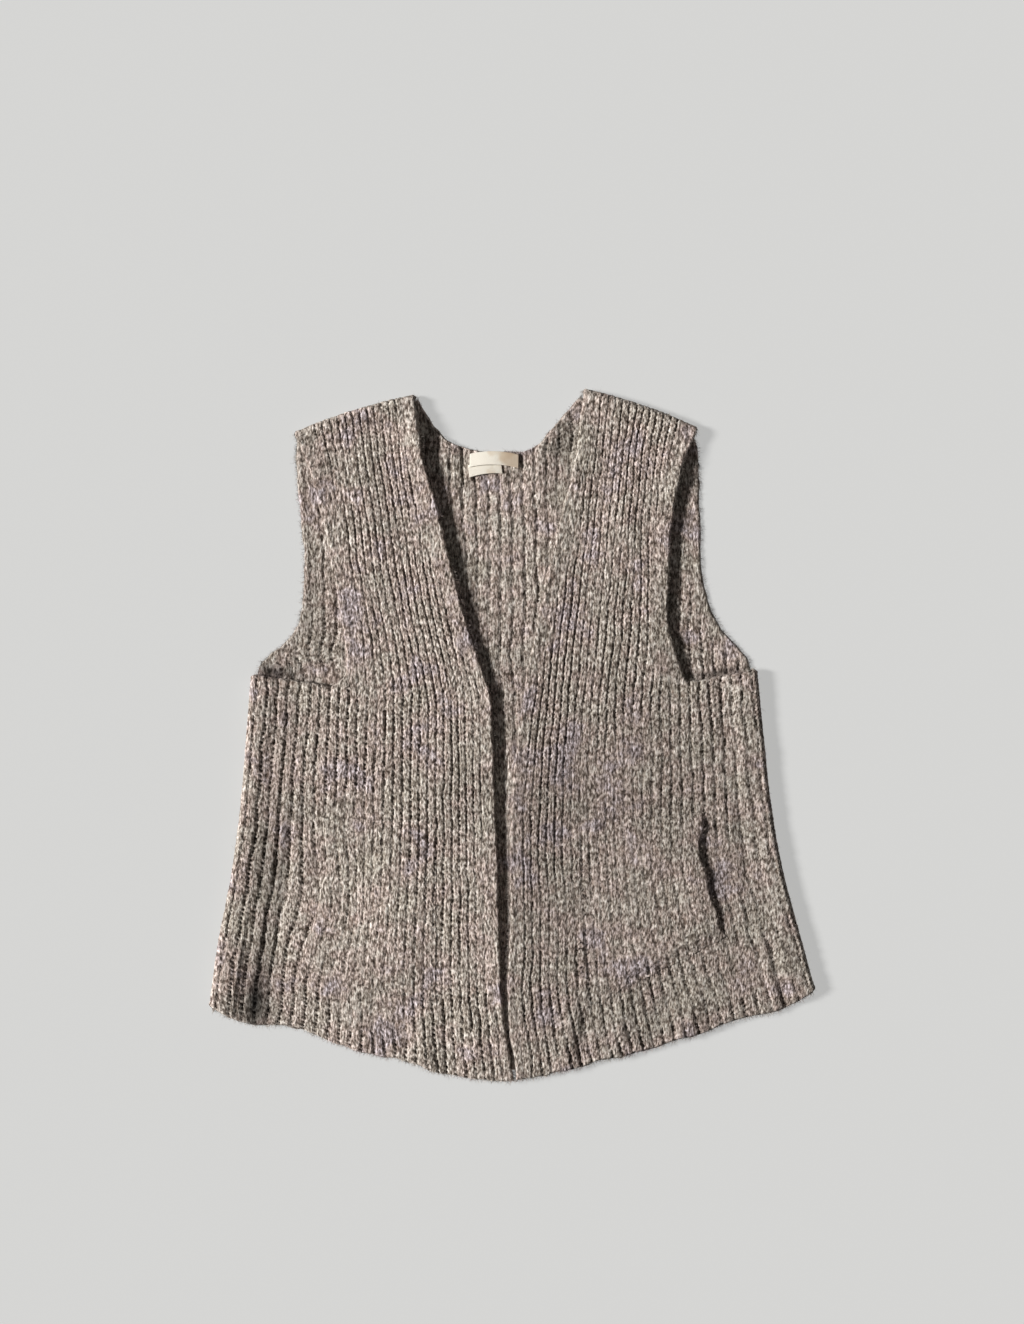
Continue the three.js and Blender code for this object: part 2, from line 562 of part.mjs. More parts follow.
function backPanel() {
  const body = BACK_ROWS.map((row, v) => {
    return { v, from: row.leftRib, to: row.rightRib, rim: v === 0 || v === NECK_ROW };
  });
  const neck = BACK_ROWS[NECK_ROW];
  const strips = [
    { rows: body },
    { rows: shoulderRows(BACK_RIGHT_SHOULDER, neck.leftRib, NECK_RIGHT_RIB), table: BACK_RIGHT_SHOULDER },
    { rows: shoulderRows(BACK_LEFT_SHOULDER, NECK_LEFT_RIB, neck.rightRib), table: BACK_LEFT_SHOULDER },
  ];
  return wall('back', WOOL, WOOL_ROUGHNESS, strips, backSurface, RIB_STEP, COARSE_RIBS);
}

function pocketPanel(name, front, pocket) {
  const strip = { rows: POCKET_ROWS.map((v) => ({ v, from: 0, to: 1, rim: v === 0 || v === 1 })) };
  const surface = pocketSurface(front, pocket);
  return wall(name, WOOL, WOOL_ROUGHNESS, [strip], surface, POCKET_STEP, 2 * POCKET_STEP);
}

function labelPanel(name, label) {
  const strip = { rows: [0, 1].map((v) => ({ v, from: 0, to: 1, rim: true })) };
  return wall(name, COTTON, COTTON_ROUGHNESS, [strip], labelSurface(label), LABEL_STEP, LABEL_STEP);
}

const vest = new THREE.Group();
vest.add(
  backPanel(),
  frontPanel('right_front', RIGHT_FRONT),
  frontPanel('left_front', LEFT_FRONT),
  pocketPanel('right_pocket', RIGHT_FRONT, RIGHT_POCKET),
  pocketPanel('left_pocket', LEFT_FRONT, LEFT_POCKET),
  labelPanel('neck_label', NECK_LABEL),
  labelPanel('size_label', SIZE_LABEL),
);

// The origin is on the floor, under the middle of the vest's outline.
const bounds = new THREE.Box3().setFromObject(vest);
const middle = bounds.getCenter(new THREE.Vector3());
vest.position.set(-middle.x, -middle.y, -bounds.min.z);

export default vest;
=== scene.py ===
"""An open-front rib-knit sweater vest laid flat on its back, seen from straight above.

Shapes are worked out in millimetres, as the solids are, and turned to metres when a mesh is made.
"""

import bpy
import numpy as np
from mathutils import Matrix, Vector


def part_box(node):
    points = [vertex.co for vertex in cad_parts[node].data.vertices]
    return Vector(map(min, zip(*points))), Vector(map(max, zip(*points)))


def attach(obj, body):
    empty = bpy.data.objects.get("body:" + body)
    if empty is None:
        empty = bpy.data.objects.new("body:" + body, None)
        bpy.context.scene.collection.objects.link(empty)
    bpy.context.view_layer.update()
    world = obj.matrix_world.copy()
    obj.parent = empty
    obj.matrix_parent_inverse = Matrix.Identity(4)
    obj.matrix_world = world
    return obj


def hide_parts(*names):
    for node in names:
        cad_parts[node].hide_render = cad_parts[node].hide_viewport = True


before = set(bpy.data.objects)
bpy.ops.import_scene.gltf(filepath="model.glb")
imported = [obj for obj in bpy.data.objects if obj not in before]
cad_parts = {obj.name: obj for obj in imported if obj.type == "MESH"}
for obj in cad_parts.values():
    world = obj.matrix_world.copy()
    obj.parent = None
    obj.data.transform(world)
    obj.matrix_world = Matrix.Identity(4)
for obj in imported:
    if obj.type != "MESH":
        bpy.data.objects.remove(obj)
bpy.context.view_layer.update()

MM = 0.001

# Cloth
WALL = 2.5
FURROW = 1.0  # thickness at the foot of a furrow
CREST = 4.3  # thickness on top of a rib
FRONT_RIBS = 27
ARMHOLE_RIB = 18.3
BACK_RIBS = 42
EDGE_ROUND = 2.6  # reach of the rounding of a cloth edge
BODY_STITCHES = 15.2  # stitches in a body row of the tables
YOKE_STITCHES = 7.9
STITCH = 4.6  # length of one on the back
INSIDE = 2.0  # the third knit coordinate on inner faces, which have no modelled ribs
THINNEST = 0.6  # of the wall, out at an edge
BACK_THICKEST = 4.1
EDGE_STRIP = 10.0  # plain strip along a front edge
SELVEDGE = 15.0  # the same along the neck and the armholes
BACK_SELVEDGE = 14.0
EDGE_RIBS = 0.3  # share of the ribs left in the strip of a front edge
NECK_RIBS = 0.06
ARMHOLE_RIBS = 0.1
SIDE_RIBS = 0.25

# Stitches, as shares of a rib's width, a stitch's length or a crest's height
RIB_WANDER = 0.13
RIB_SHIVER = 0.08
SIDE_LAG = 0.7  # how far the sides of a stitch lag behind its middle
STITCH_SHIFT = 0.5  # how far the stitches of a rib may lie from their neighbours'
STITCH_WANDER = 0.4
WAIST_WIDTH = 0.84  # where two stitches of a rib meet
BELLY_WIDTH = 0.26  # what the middle of a stitch adds
WAIST_HEIGHT = 0.66
CHANCE = 0.12  # how much one stitch differs from the next
STITCH_FLATNESS = 3.4  # power of the curve across it
GROOVE = 0.14  # the parting along the middle of a rib
BRIDGE = 0.5  # fibres that fill a furrow here and there

# Folds
FOLD_RADIUS = 2.8
FOLD_SPAN = 3.0
FOLD_TURN = np.radians(150)
FOLD_INSET = FOLD_RADIUS + WALL + 0.7
FOLD_HEIGHT = (FOLD_RADIUS + WALL) * np.cos(np.pi - FOLD_TURN) + 0.3
FOLD_EASE = 24.0
GAP = 0.35
HEM_CORNER = 3.4  # rise of the rounded hem corner
BACK_INSET = FOLD_INSET - FOLD_RADIUS * np.sin(FOLD_TURN) + 3 * GAP
SHOULDER_ROW = 34.0

# Heights
FRONT_BASE = 5.9
FRONT_LOWEST = 4.35
POCKET_BASE = 4.6
POCKET_FURROW = 0.9
POCKET_CREST = 3.5
POCKET_SEAM = 0.5  # rise of a sewn pocket edge over the front
EDGE_REACH = 16.0

# Mesh density
COLUMNS_PER_RIB = 8
ROWS_PER_STITCH = 3.4
FOLD_COLUMNS = 14
FOLD_ROWS = 9
BACK_HIDDEN_ROWS = 44
BACK_LOW_ROWS = 24
BACK_YOKE_ROWS = 132
BACK_SHOULDER_ROWS = 37
BACK_NECK_COLUMNS = 28
BACK_MARGIN = 24  # columns of the back that may show beside the fronts
POCKET_COLUMNS = 104
POCKET_ROWS = 130
LABEL_COLUMNS = 60
LABEL_ROWS = 20

# Rows of a front, hem to underarm
RIGHT_BODY = dict(
    edge_x=[1.6, -8, -11.2, -13, -15.6, -18.2],
    edge_y=[-310.5, -240, -170, -100, -30, 38],
    side_x=[-272.5, -264.5, -252.8, -244.5, -239.5, -234.5],
    side_y=[-247, -187, -127, -67, -7, 56],
    bow=[7, 6, 5, 4, 4, 6],
    lift=[0.6, 1, 1.2, 1.2, 1.4, 1.8],
    hem=[1, -1.2, -2.6, -0.4, 3, 3.2, 6, 9.2, 2.6, 2],
)
LEFT_BODY = dict(
    edge_x=[4.2, -4.4, -1.8, -2.7, 1.4, 9.8],
    edge_y=[-309.6, -240, -170, -100, -30, 38],
    side_x=[273.5, 256.8, 241.8, 232, 226, 220.2],
    side_y=[-228, -170, -112, -54, 3, 61],
    bow=[8, 7, 6, 5, 4, 6],
    lift=[0.6, 0.8, 1, 1, 1, 1.2],
    hem=[1, 0.5, 1.3, 1.7, 0.8, 1, 0.6, 1.8, -1.6, -2],
)

# Curve of the armhole's foot: width in ribs, reach in rows, power
RIGHT_CORNER = dict(ribs=1.7, reach=0.5, power=2.5)
LEFT_CORNER = dict(ribs=2.5, reach=1.8, power=2.0)

# Rows of a front, underarm to shoulder, with its first and last rib in each
YOKE_FIRST = [0, 1, 1.7, 2.3, 3, 3.6, 4, 4.3]
YOKE_LAST = [18.3, 18.3, 18.5, 18.8, 19.3, 19.8, 20.3, 20.8]
RIGHT_YOKE = dict(
    neck_x=[-18.2, -36, -47.5, -57, -66.5, -78, -83, -87.3],
    neck_y=[38, 88, 127, 165, 205, 243, 272, 307.8],
    arm_x=[0, -150.5, -155.5, -161.5, -168.5, -176.5, -184.5, -195],
    arm_y=[0, 86, 119, 150, 187, 220, 246, 272.7],
    first=YOKE_FIRST,
    last=YOKE_LAST,
    neck_lift=[1.8, 2, 2.6, 3, 3.6, 5.6, 7, 4],
    arm_lift=[0.8, 0.8, 0.8, 1, 1.4, 2, 2, 0.5],
)
LEFT_YOKE = dict(
    neck_x=[9.8, 19, 27, 35, 44.5, 53, 59, 65],
    neck_y=[38, 87, 127, 163, 200, 235, 267, 315.5],
    arm_x=[0, 139.5, 139.8, 141, 143.5, 149, 155.3, 166.5],
    arm_y=[0, 88, 122, 152, 188, 221, 248, 277.5],
    first=YOKE_FIRST,
    last=YOKE_LAST,
    neck_lift=[1.2, 1.4, 1.6, 1.8, 1.8, 1.8, 1.6, 0.6],
    arm_lift=[1.4, 2, 2.4, 2.4, 2.4, 2.6, 2.6, 0.8],
)

# Soft ridges and troughs: middle x and y, half length along the turned axis, half width, turn, height
RIGHT_SWELLS = [
    (-97, -278, 24, 6, 96, -1.4),
    (-77, -284, 26, 7, 96, 2.2),
    (-58, -286, 26, 6, 94, -1.3),
    (-34, -272, 44, 8, 104, 2.0),
    (-140, -268, 30, 14, 100, 2.2),
    (-150, -40, 70, 40, 80, 1.6),
    (-128, 200, 60, 18, 100, 1.8),
    (-224, -60, 110, 4, 83, -1.6),
    (-216, -100, 120, 4, 84, 1.6),
    (-238, -190, 80, 4.5, 81, -1.8),
    (-230, -200, 80, 4.5, 82, 2.0),
    (-246, -210, 60, 4, 80, 1.6),
    (-206, -150, 90, 4, 84, -1.2),
    (-233, -242, 32, 8, 84, -2.0),
]
LEFT_SWELLS = [
    (66, -262, 36, 6, 84, -1.4),
    (50, -276, 30, 8, 84, 2.4),
    (96, -258, 34, 9, 80, 2.4),
    (130, -262, 26, 8, 76, -1.2),
    (160, -248, 30, 9, 72, 2.0),
    (120, -20, 70, 34, 95, 1.6),
    (100, 190, 60, 16, 82, 1.6),
    (214, -20, 80, 4, 96, -1.4),
    (222, -60, 90, 4, 97, 1.4),
    (238, -190, 60, 4.5, 102, -1.6),
    (228, -200, 70, 4.5, 102, 1.8),
    (202, -120, 80, 5, 98, 1.2),
]
SIDE_TROUGH = dict(inset=33.0, width=10.0, depth=1.4)

# Darker drawn yarn: painted shade in troughs, creases and corners and beside raised edges, and broad
# darkening over parts of a front, in the same columns, ending with the share of light lost (gained below 0:
# painted light on the pockets)
RIGHT_PAINTED_SHADING = [
    (-229, -240, 36, 14, 84, 0.85),
    (-223, -126, 85, 5, 84, 0.5),
    (-204, -95, 60, 3.4, 84, 0.35),
    (-190, -66, 24, 3.4, 84, 0.35),
    (-180, -110, 15, 7, 80, 0.3),
    (-198, 20, 34, 9, 88, 0.28),
    (-122, -147, 52, 42, 90, -0.2),
    (-215, -60, 70, 30, 85, 0.07),
    (-216, -160, 70, 7, 80, 0.25),
    (-45, -52, 26, 48, 0, 0.12),
]
LEFT_PAINTED_SHADING = [
    (212, -8, 75, 3.5, 94, 0.3),
    (250, -200, 40, 5, 105, 0.35),
    (110, -110, 190, 190, 0, 0.27),
    (28, -62, 34, 56, 0, 0.08),
    (120, -262, 120, 45, 0, 0.1),
    (128, -148, 40, 60, 0, -0.12),
]

# Fronts: crisp is how clear the side ribs stay, tone scales how light the panel's colour is drawn, and shift
# sets the unevenness.
# Felted is where ribs are lost and slants where they lean, in the same columns but over ribs and rows
RIGHT_FRONT = dict(
    body=RIGHT_BODY,
    yoke=RIGHT_YOKE,
    corner=RIGHT_CORNER,
    swells=RIGHT_SWELLS,
    painted_shading=RIGHT_PAINTED_SHADING,
    felted=[(15, 2.3, 7, 1.2, 0, 0.3), (18.5, 2.6, 3.5, 0.8, 0, 0.45), (12, 8, 9, 3, 0, 0.1)],
    slants=[(18.5, 2.0, 3.2, 0.75, 0, 1.4)],
    crisp=0.9,
    tone=1.09,
    shift=0,
)
LEFT_FRONT = dict(
    body=LEFT_BODY,
    yoke=LEFT_YOKE,
    corner=LEFT_CORNER,
    swells=LEFT_SWELLS,
    painted_shading=LEFT_PAINTED_SHADING,
    felted=[(14, 2.1, 9, 1.6, 0, 0.3), (23, 2, 4, 1.6, 0, 0.25), (12, 8, 9, 3, 0, 0.15)],
    slants=[(19, 2.2, 6, 0.9, 0, 0.8)],
    crisp=0.2,
    tone=1.06,
    shift=20,
)

# Rows of the back over the underarm
BACK_YOKE = dict(
    left_x=[-216, -196, -188.7, -186.8, -188, -190.8, -193.6],
    left_y=[74, 93.5, 114.5, 140.4, 176.4, 210, 238],
    right_x=[203.5, 187.5, 177.3, 171.3, 169.8, 168.8, 168],
    right_y=[79, 97, 118, 145, 176, 206, 234],
    left_rib=[1.9, 3.4, 4.1, 4.4, 4.4, 4.4, 4.3],
    right_rib=[41, 39.7, 38.5, 37.9, 37.8, 37.7, 37.7],
    drop=[8, 4, 0, 0, -3, -9, -20],
    bend=[1.5, 2, 2, 2, 2, 2, 2],
)
BACK_DROP = [66, 60, 51, 41, 30, 19]
BACK_HEM_SHORT = 0.08
BACK_BODY_BEND = 1.25
BACK_HEM = 310  # stitch rows are counted from this far under the tables' origin
BACK_SHOWS = 4.4  # row over which the back may show
BACK_RIGHT_SHOULDER = dict(
    neck_x=[-46, -60, -70, -83.6],
    neck_y=[260.5, 266.5, 279, 302],
    neck_rib=[17.9, 16.7, 15.7, 14.2],
    arm_x=[-194.6, -194.6, -194.4, -193.4],
    arm_y=[245, 250, 257, 266.3],
    arm_rib=[4.3, 4.3, 4.3, 4.3],
)
BACK_LEFT_SHOULDER = dict(
    neck_x=[24.5, 33.3, 45, 61.6],
    neck_y=[263, 273.6, 287, 305],
    neck_rib=[24.2, 25, 26.1, 27.7],
    arm_x=[167.8, 167.6, 167, 165.2],
    arm_y=[241, 247, 255, 267.5],
    arm_rib=[37.7, 37.7, 37.7, 37.7],
)
NECK_RIGHT_RIB = 19.5
NECK_LEFT_RIB = 23.1
BACK_SWELLS = [(-56, 262, 22, 9, 96, 2.6), (24, 248, 30, 11, 78, 1.8)]
# Painted shade on the back: where the fronts' raised edges shade it, in the underarm corners and along its
# armhole strips
BACK_PAINTED_SHADING = [
    (0, 60, 60, 55, 0, 0.17),
    (-185, 120, 80, 25, 90, 0.2),
    (-216, 58, 24, 7, -13, 0.8),
    (180, 110, 80, 20, 90, 0.12),
    (186, 57, 32, 3.5, 9, 0.65),
    (46, 268, 38, 11, 75, 0.42),
]
BACK = dict(painted_shading=BACK_PAINTED_SHADING, tone=1.0, shift=40)

# Patch pockets: ribs and rows of their corners on the front.
# Lip is the rise of the open side, bend its curve in ribs
RIGHT_POCKET = dict(
    inner_top=(8, 3.32),
    outer_top=(20, 3.12),
    inner_foot=(7.6, 0.9),
    outer_foot=(21, 0.98),
    lip=1.2,
    bend=0.9,
)
LEFT_POCKET = dict(
    inner_top=(8.1, 3.26),
    outer_top=(21.7, 3.04),
    inner_foot=(8.4, 0.76),
    outer_foot=(22.1, 1.2),
    lip=1.5,
    bend=0.85,
)
POCKET_WIDTH = 112.0
POCKET_HEIGHT = 158.0
POCKET_EASE = 16.0  # width over which a pocket rises from its seams
POCKET_INNER_EASE = 50.0
GAPE_START = 0.14  # share of the height that is sewn under the opening
POCKET_SHIFT = 60  # sets their unevenness

# Loose fibres: how many all over and along the edges, and their sizes in mm
BACK_HAIRS = (2500, 4500)
FRONT_HAIRS = (5000, 6000)
POCKET_HAIRS = (1000, 500)
LONGEST_HAIR = 6.0
HAIR_RADIUS = (0.08, 0.15)
FIRST_SEED = 11

# Labels on the back's neck edge
NECK_LABEL = dict(x=-16, y=247, width=44, height=12, arch=2.6, turn=-1, over=1.42, bulge=2.0)
SIZE_LABEL = dict(x=-24, y=239.5, width=30, height=11, arch=1.5, turn=7, over=0.35, bulge=0.8)
LABEL_BASE = 4.0
LABEL_THICKNESS = 0.7

# Picture
PHOTO_WIDTH = 1024
PHOTO_HEIGHT = 1324
MM_PER_PIXEL = 0.9
PHOTO_ORIGIN = (512, 736)  # the pixel over the tables' origin
LENS = 60.0
SENSOR = 36.0
FLOOR_HALF = 60.0  # metres
FLOOR_LEVEL = -0.0002
FLOOR_COLOUR = (0.235, 0.235, 0.232, 1)
FLOOR_GLOW = 0.455
KEY_STRENGTH = 5.05
KEY_WIDTH = 12  # degrees
KEY_COLOUR = (1.0, 0.995, 0.985)
KEY_DIRECTION = (4.2, -0.2, -2.45)
ROOM_COLOUR = (1.0, 0.985, 0.965, 1)
ROOM_STRENGTH = 0.09

# Painted shade drawn into the yarn's colour: the colours of furrows and of the dark parts beside them; the
# back's are redder
WOOL_FURROW_SHADE = (0.07, 0.05, 0.032)
WOOL_FLANK_SHADE = (0.34, 0.31, 0.28)
BACK_WOOL_FURROW_SHADE = (0.26, 0.12, 0.085)
BACK_WOOL_FLANK_SHADE = (0.54, 0.375, 0.32)

BODY_END = len(RIGHT_BODY["edge_x"]) - 1
YOKE_END = BODY_END + len(RIGHT_YOKE["neck_x"]) - 1

# Random numbers on a lattice, which every uneven thing below reads by place
RANDOM = np.random.default_rng(7)
LATTICE = RANDOM.uniform(-1, 1, (97, 89))


def clamp(value, low, high):
    return np.clip(value, low, high)


def lerp(a, b, t):
    return a + (b - a) * t


def ease(t):
    s = clamp(t, 0, 1)
    return s * s * (3 - 2 * s)


def lattice(i, j):
    return LATTICE[i % LATTICE.shape[0], j % LATTICE.shape[1]]


def field(a, b, shift=0):
    """Smooth unevenness from -1 to 1 over a plane, with one hump or hollow to a unit."""
    a = a + 13.7 * shift
    b = b + 7.3 * shift
    i = np.floor(a).astype(int)
    j = np.floor(b).astype(int)
    s = ease(a - i)
    t = ease(b - j)
    low = lerp(lattice(i, j), lattice(i + 1, j), s)
    high = lerp(lattice(i, j + 1), lattice(i + 1, j + 1), s)
    return lerp(low, high, t)


def column(values, v):
    """A smooth curve through one column of a table, at row positions v."""
    values = np.asarray(values, float)
    last = len(values) - 1
    v = np.asarray(v, float)
    padded = np.concatenate([[2 * values[0] - values[1]], values, [2 * values[-1] - values[-2]]])
    i = clamp(np.floor(v).astype(int), 0, last - 1)
    t = v - i
    before, here, there, after = padded[i], padded[i + 1], padded[i + 2], padded[i + 3]
    slope_in = (there - before) / 2
    slope_out = (after - here) / 2
    t2 = t * t
    t3 = t2 * t
    return (
        (2 * t3 - 3 * t2 + 1) * here
        + (t3 - 2 * t2 + t) * slope_in
        + (3 * t2 - 2 * t3) * there
        + (t3 - t2) * slope_out
    )


def curves(table, v, *names):
    return [column(table[name], v) for name in names]


def swell_height(swells, x, y):
    total = np.zeros_like(x)
    for middle_x, middle_y, along, across, turn, height in swells:
        angle = np.radians(turn)
        dx = x - middle_x
        dy = y - middle_y
        a = (dx * np.cos(angle) + dy * np.sin(angle)) / along
        b = (dy * np.cos(angle) - dx * np.sin(angle)) / across
        total += height * np.exp(-a * a - b * b)
    return total


def body_crowding(v):
    return lerp(0.8, 0.72, clamp(v / BODY_END, 0, 1))


def body_plan(front, u, v):
    body = front["body"]
    edge_x, edge_y, side_x, side_y = curves(body, v, "edge_x", "edge_y", "side_x", "side_y")
    length = np.hypot(side_x - edge_x, side_y - edge_y)
    flat_u = np.minimum(u, FRONT_RIBS)
    t = flat_u / FRONT_RIBS
    k = body_crowding(v)
    share = t * (k + (1 - k) * t) * (1 - FOLD_INSET / length)
    x = lerp(edge_x, side_x, share)
    y = lerp(edge_y, side_y, share) - column(body["bow"], v) * 4 * share * (1 - share)
    y = y + column(body["hem"], flat_u / 3) * clamp(1 - v / 1.2, 0, 1) ** 2
    along = (side_x - edge_x) / length, (side_y - edge_y) / length
    return x, y, along, length * share, length * (1 - share), share


def yoke_plan(front, u, v):
    corner = body_plan(front, ARMHOLE_RIB, BODY_END)
    yoke = dict(front["yoke"])
    yoke["arm_x"] = [corner[0]] + yoke["arm_x"][1:]
    yoke["arm_y"] = [corner[1]] + yoke["arm_y"][1:]
    row = v - BODY_END
    neck_x, neck_y, arm_x, arm_y = curves(yoke, row, "neck_x", "neck_y", "arm_x", "arm_y")
    first, last = curves(yoke, row, "first", "last")
    t = (u - first) / (last - first)
    part = ARMHOLE_RIB / FRONT_RIBS
    crowding = body_crowding(BODY_END)
    start = crowding / (crowding + (1 - crowding) * part)
    rise = clamp(row / (YOKE_END - BODY_END), 0, 1)
    k = lerp(start, 1, ease(rise * 2))
    share = t * (k + (1 - k) * t)
    bow = column(front["body"]["bow"], BODY_END) * corner[5] ** 2
    x = lerp(neck_x, arm_x, share)
    y = lerp(neck_y, arm_y, share) - lerp(bow, -3, ease(rise)) * 4 * share * (1 - share)
    width = np.hypot(neck_x - arm_x, neck_y - arm_y)
    return x, y, width * share, width * (1 - share)


def armhole_rib(front, v):
    foot = front["corner"]
    rise = clamp(1 - (v - BODY_END) / foot["reach"], 0, 1)
    return column(front["yoke"]["last"], v - BODY_END) + foot["ribs"] * rise ** foot["power"]


def strip(distance, width):
    """0 within a plain edge strip of the given width, 1 beyond it, with a soft change."""
    return ease((distance - 0.7 * width) / (0.6 * width))


def edge_lift(lift, distance):
    return lift * np.exp(-((distance / EDGE_REACH) ** 2))


def rolled(x, y, height, along, from_fold, step):
    """Inner points and normals of a front that rolls over its outline, and its share of flatness."""
    turned = step / FOLD_SPAN
    out, up = np.sin(turned * FOLD_TURN), np.cos(turned * FOLD_TURN)
    flat = ease((from_fold - FOLD_INSET) / FOLD_EASE)
    height = lerp(FOLD_HEIGHT + FOLD_RADIUS, np.maximum(height, FRONT_LOWEST), flat)
    height = np.where(step > 0, FOLD_HEIGHT + FOLD_RADIUS * up, height)
    inner = np.stack([x + along[0] * FOLD_RADIUS * out, y + along[1] * FOLD_RADIUS * out, height], -1)
    return inner, np.stack([along[0] * out, along[1] * out, up + 0 * x], -1), 1 - ease(turned) + 0 * x


def front_height(front, x, y, lift):
    height = FRONT_BASE + swell_height(front["swells"], x, y) + lift
    return height + 0.5 * field(x / 34, y / 46, front["shift"])


def body_frame(front, u, v):
    """Inner points, normals, share of the ribs and share of flatness of a front, hem to underarm."""
    x, y, along, from_edge, from_side, _ = body_plan(front, u, v)
    trough = (from_side - SIDE_TROUGH["inset"]) / SIDE_TROUGH["width"]
    height = front_height(front, x, y, edge_lift(column(front["body"]["lift"], v), from_edge))
    height -= SIDE_TROUGH["depth"] * np.exp(-trough * trough)
    inner, normal, fade = rolled(x, y, height, along, from_side, np.maximum(0, u - FRONT_RIBS))
    return inner, normal, lerp(EDGE_RIBS, 1, strip(from_edge, EDGE_STRIP)), fade


def yoke_frame(front, u, v):
    """The same for a front between underarm and shoulder."""
    start = YOKE_END - 1
    row = np.minimum(v, YOKE_END)
    row = np.where(row > start, start + (row - start) * (1 - FOLD_INSET / SHOULDER_ROW), row)
    from_shoulder = (YOKE_END - row) * SHOULDER_ROW
    x, y, from_neck, from_arm = yoke_plan(front, u, row)
    before_x, before_y, _, _ = yoke_plan(front, u, row - 0.2)
    length = np.hypot(x - before_x, y - before_y)
    along = (x - before_x) / length, (y - before_y) / length
    neck_lift, arm_lift = curves(front["yoke"], row - BODY_END, "neck_lift", "arm_lift")
    lift = edge_lift(neck_lift, from_neck) + edge_lift(arm_lift, from_arm)
    height = front_height(front, x, y, lift)
    inner, normal, fade = rolled(x, y, height, along, from_shoulder, np.maximum(0, v - YOKE_END))
    rise = ease(v - BODY_END)
    neck = lerp(lerp(EDGE_RIBS, NECK_RIBS, rise), 1, strip(from_neck, lerp(EDGE_STRIP, SELVEDGE, rise)))
    arm = lerp(ARMHOLE_RIBS, 1, strip(from_arm + 20 * ease(1 - (v - BODY_END) * 2), SELVEDGE))
    return inner, normal, np.minimum(neck, arm), fade


def front_frame(front, u, v):
    u, v = np.broadcast_arrays(np.asarray(u, float), np.asarray(v, float))
    low = body_frame(front, u, np.minimum(v, BODY_END))
    high = yoke_frame(front, np.minimum(u, FRONT_RIBS), np.maximum(v, BODY_END))
    in_body = v <= BODY_END
    return [np.where(in_body[..., None] if a.ndim > v.ndim else in_body, a, b) for a, b in zip(low, high)]


def stitch_rows(v):
    """How many stitches lie between the hem and table row v."""
    return np.minimum(v, BODY_END) * BODY_STITCHES + np.maximum(v - BODY_END, 0) * YOKE_STITCHES


def knit_depth(rib, row, shift):
    """Relief of drop-shaped stitches in a column on each rib: 0 in a furrow, about 1 on a crest."""
    wander = RIB_WANDER * field(rib / 2.2, row / 6, shift)
    rib = rib + wander + RIB_SHIVER * field(rib * 1.2, row / 1.6, shift + 1)
    index = np.floor(rib).astype(int)
    side = np.abs(rib - index - 0.5) * 2
    phase = row + SIDE_LAG * side + STITCH_SHIFT * lattice(index, 5)
    phase = phase + STITCH_WANDER * field(rib / 1.5, row / 5, shift + 2)
    stitch = np.floor(phase).astype(int)
    chance = lattice(index * 7 + shift, stitch)
    swell = np.sin(np.pi * (phase - stitch)) ** 0.8
    width = (WAIST_WIDTH + BELLY_WIDTH * swell) * (1 + CHANCE * chance)
    drop = clamp(1 - (side / width) ** STITCH_FLATNESS, 0, 1) ** 0.6
    groove = 1 - GROOVE * np.exp(-((side / 0.2) ** 2))
    bridge = BRIDGE * clamp(2.2 * field(rib * 0.9, row / 3.7, shift + 12) - 0.75, 0, 1)
    height = lerp(WAIST_HEIGHT, 1, swell)
    return np.maximum(drop, bridge) * height * groove * (1 + CHANCE * lattice(stitch, index * 3 + shift))


def plain_depth(rib, row, shift):
    """Relief of the felted strip along an edge, where the ribs are lost."""
    return 0.62 + 0.2 * field(rib * 2.1, row * 1.1, shift + 3) + 0.14 * field(rib * 4.1, row * 2.3, shift + 4)


def front_depth(front, u, v, ribs):
    row = stitch_rows(v)
    felted = swell_height(front["felted"], u, v)
    lost = clamp(0.14 + 0.5 * field(u / 3.5, row / 9, front["shift"] + 5) + felted, 0, 0.75)
    side_rib = ease((u - 17) / 4) * (v < BODY_END) * (1 - clamp(2 * felted, 0, 1))
    crisp = np.maximum(front["crisp"] * side_rib, ease(1.5 - v / 0.3))
    slant = swell_height(front["slants"], u, v)
    knit = knit_depth(u + slant, row, front["shift"])
    return lerp(plain_depth(u, row, front["shift"]), knit, ribs * (1 - lost * (1 - crisp)))


def lumps(rib, row, shift, slow):
    """Thick and thin places of the yarn, in mm: slow ones of the given height, and quick ones."""
    return slow * field(rib / 2.4, row / 7, shift + 6) + 0.2 * field(rib * 2.3, row * 1.6, shift + 7)


def front_thickness(front, u, v, depth, fade):
    uneven = lumps(u, stitch_rows(v), front["shift"], 0.3)
    return lerp(WALL - 0.2, FURROW + (CREST - FURROW) * depth + uneven, fade)


def cells_around(mask):
    """How many of the four cells round each grid point are cloth."""
    cell = np.pad(mask, 1).astype(int)
    return cell[:-1, :-1] + cell[1:, :-1] + cell[:-1, 1:] + cell[1:, 1:]


def edge_distance(points, mask):
    """Distance in mm of each grid point from the nearest open edge, up to a few mm."""
    distance = np.where(cells_around(mask) == 4, 99.0, 0.0)
    down = np.linalg.norm(np.diff(points, axis=0), axis=-1)
    across = np.linalg.norm(np.diff(points, axis=1), axis=-1)
    for _ in range(6):
        distance[1:] = np.minimum(distance[1:], distance[:-1] + down)
        distance[:-1] = np.minimum(distance[:-1], distance[1:] + down)
        distance[:, 1:] = np.minimum(distance[:, 1:], distance[:, :-1] + across)
        distance[:, :-1] = np.minimum(distance[:, :-1], distance[:, 1:] + across)
    return distance


def edge_rounding(distance):
    t = clamp(distance / EDGE_ROUND, 0, 1)
    return np.sqrt(1 - (1 - t) ** 2)


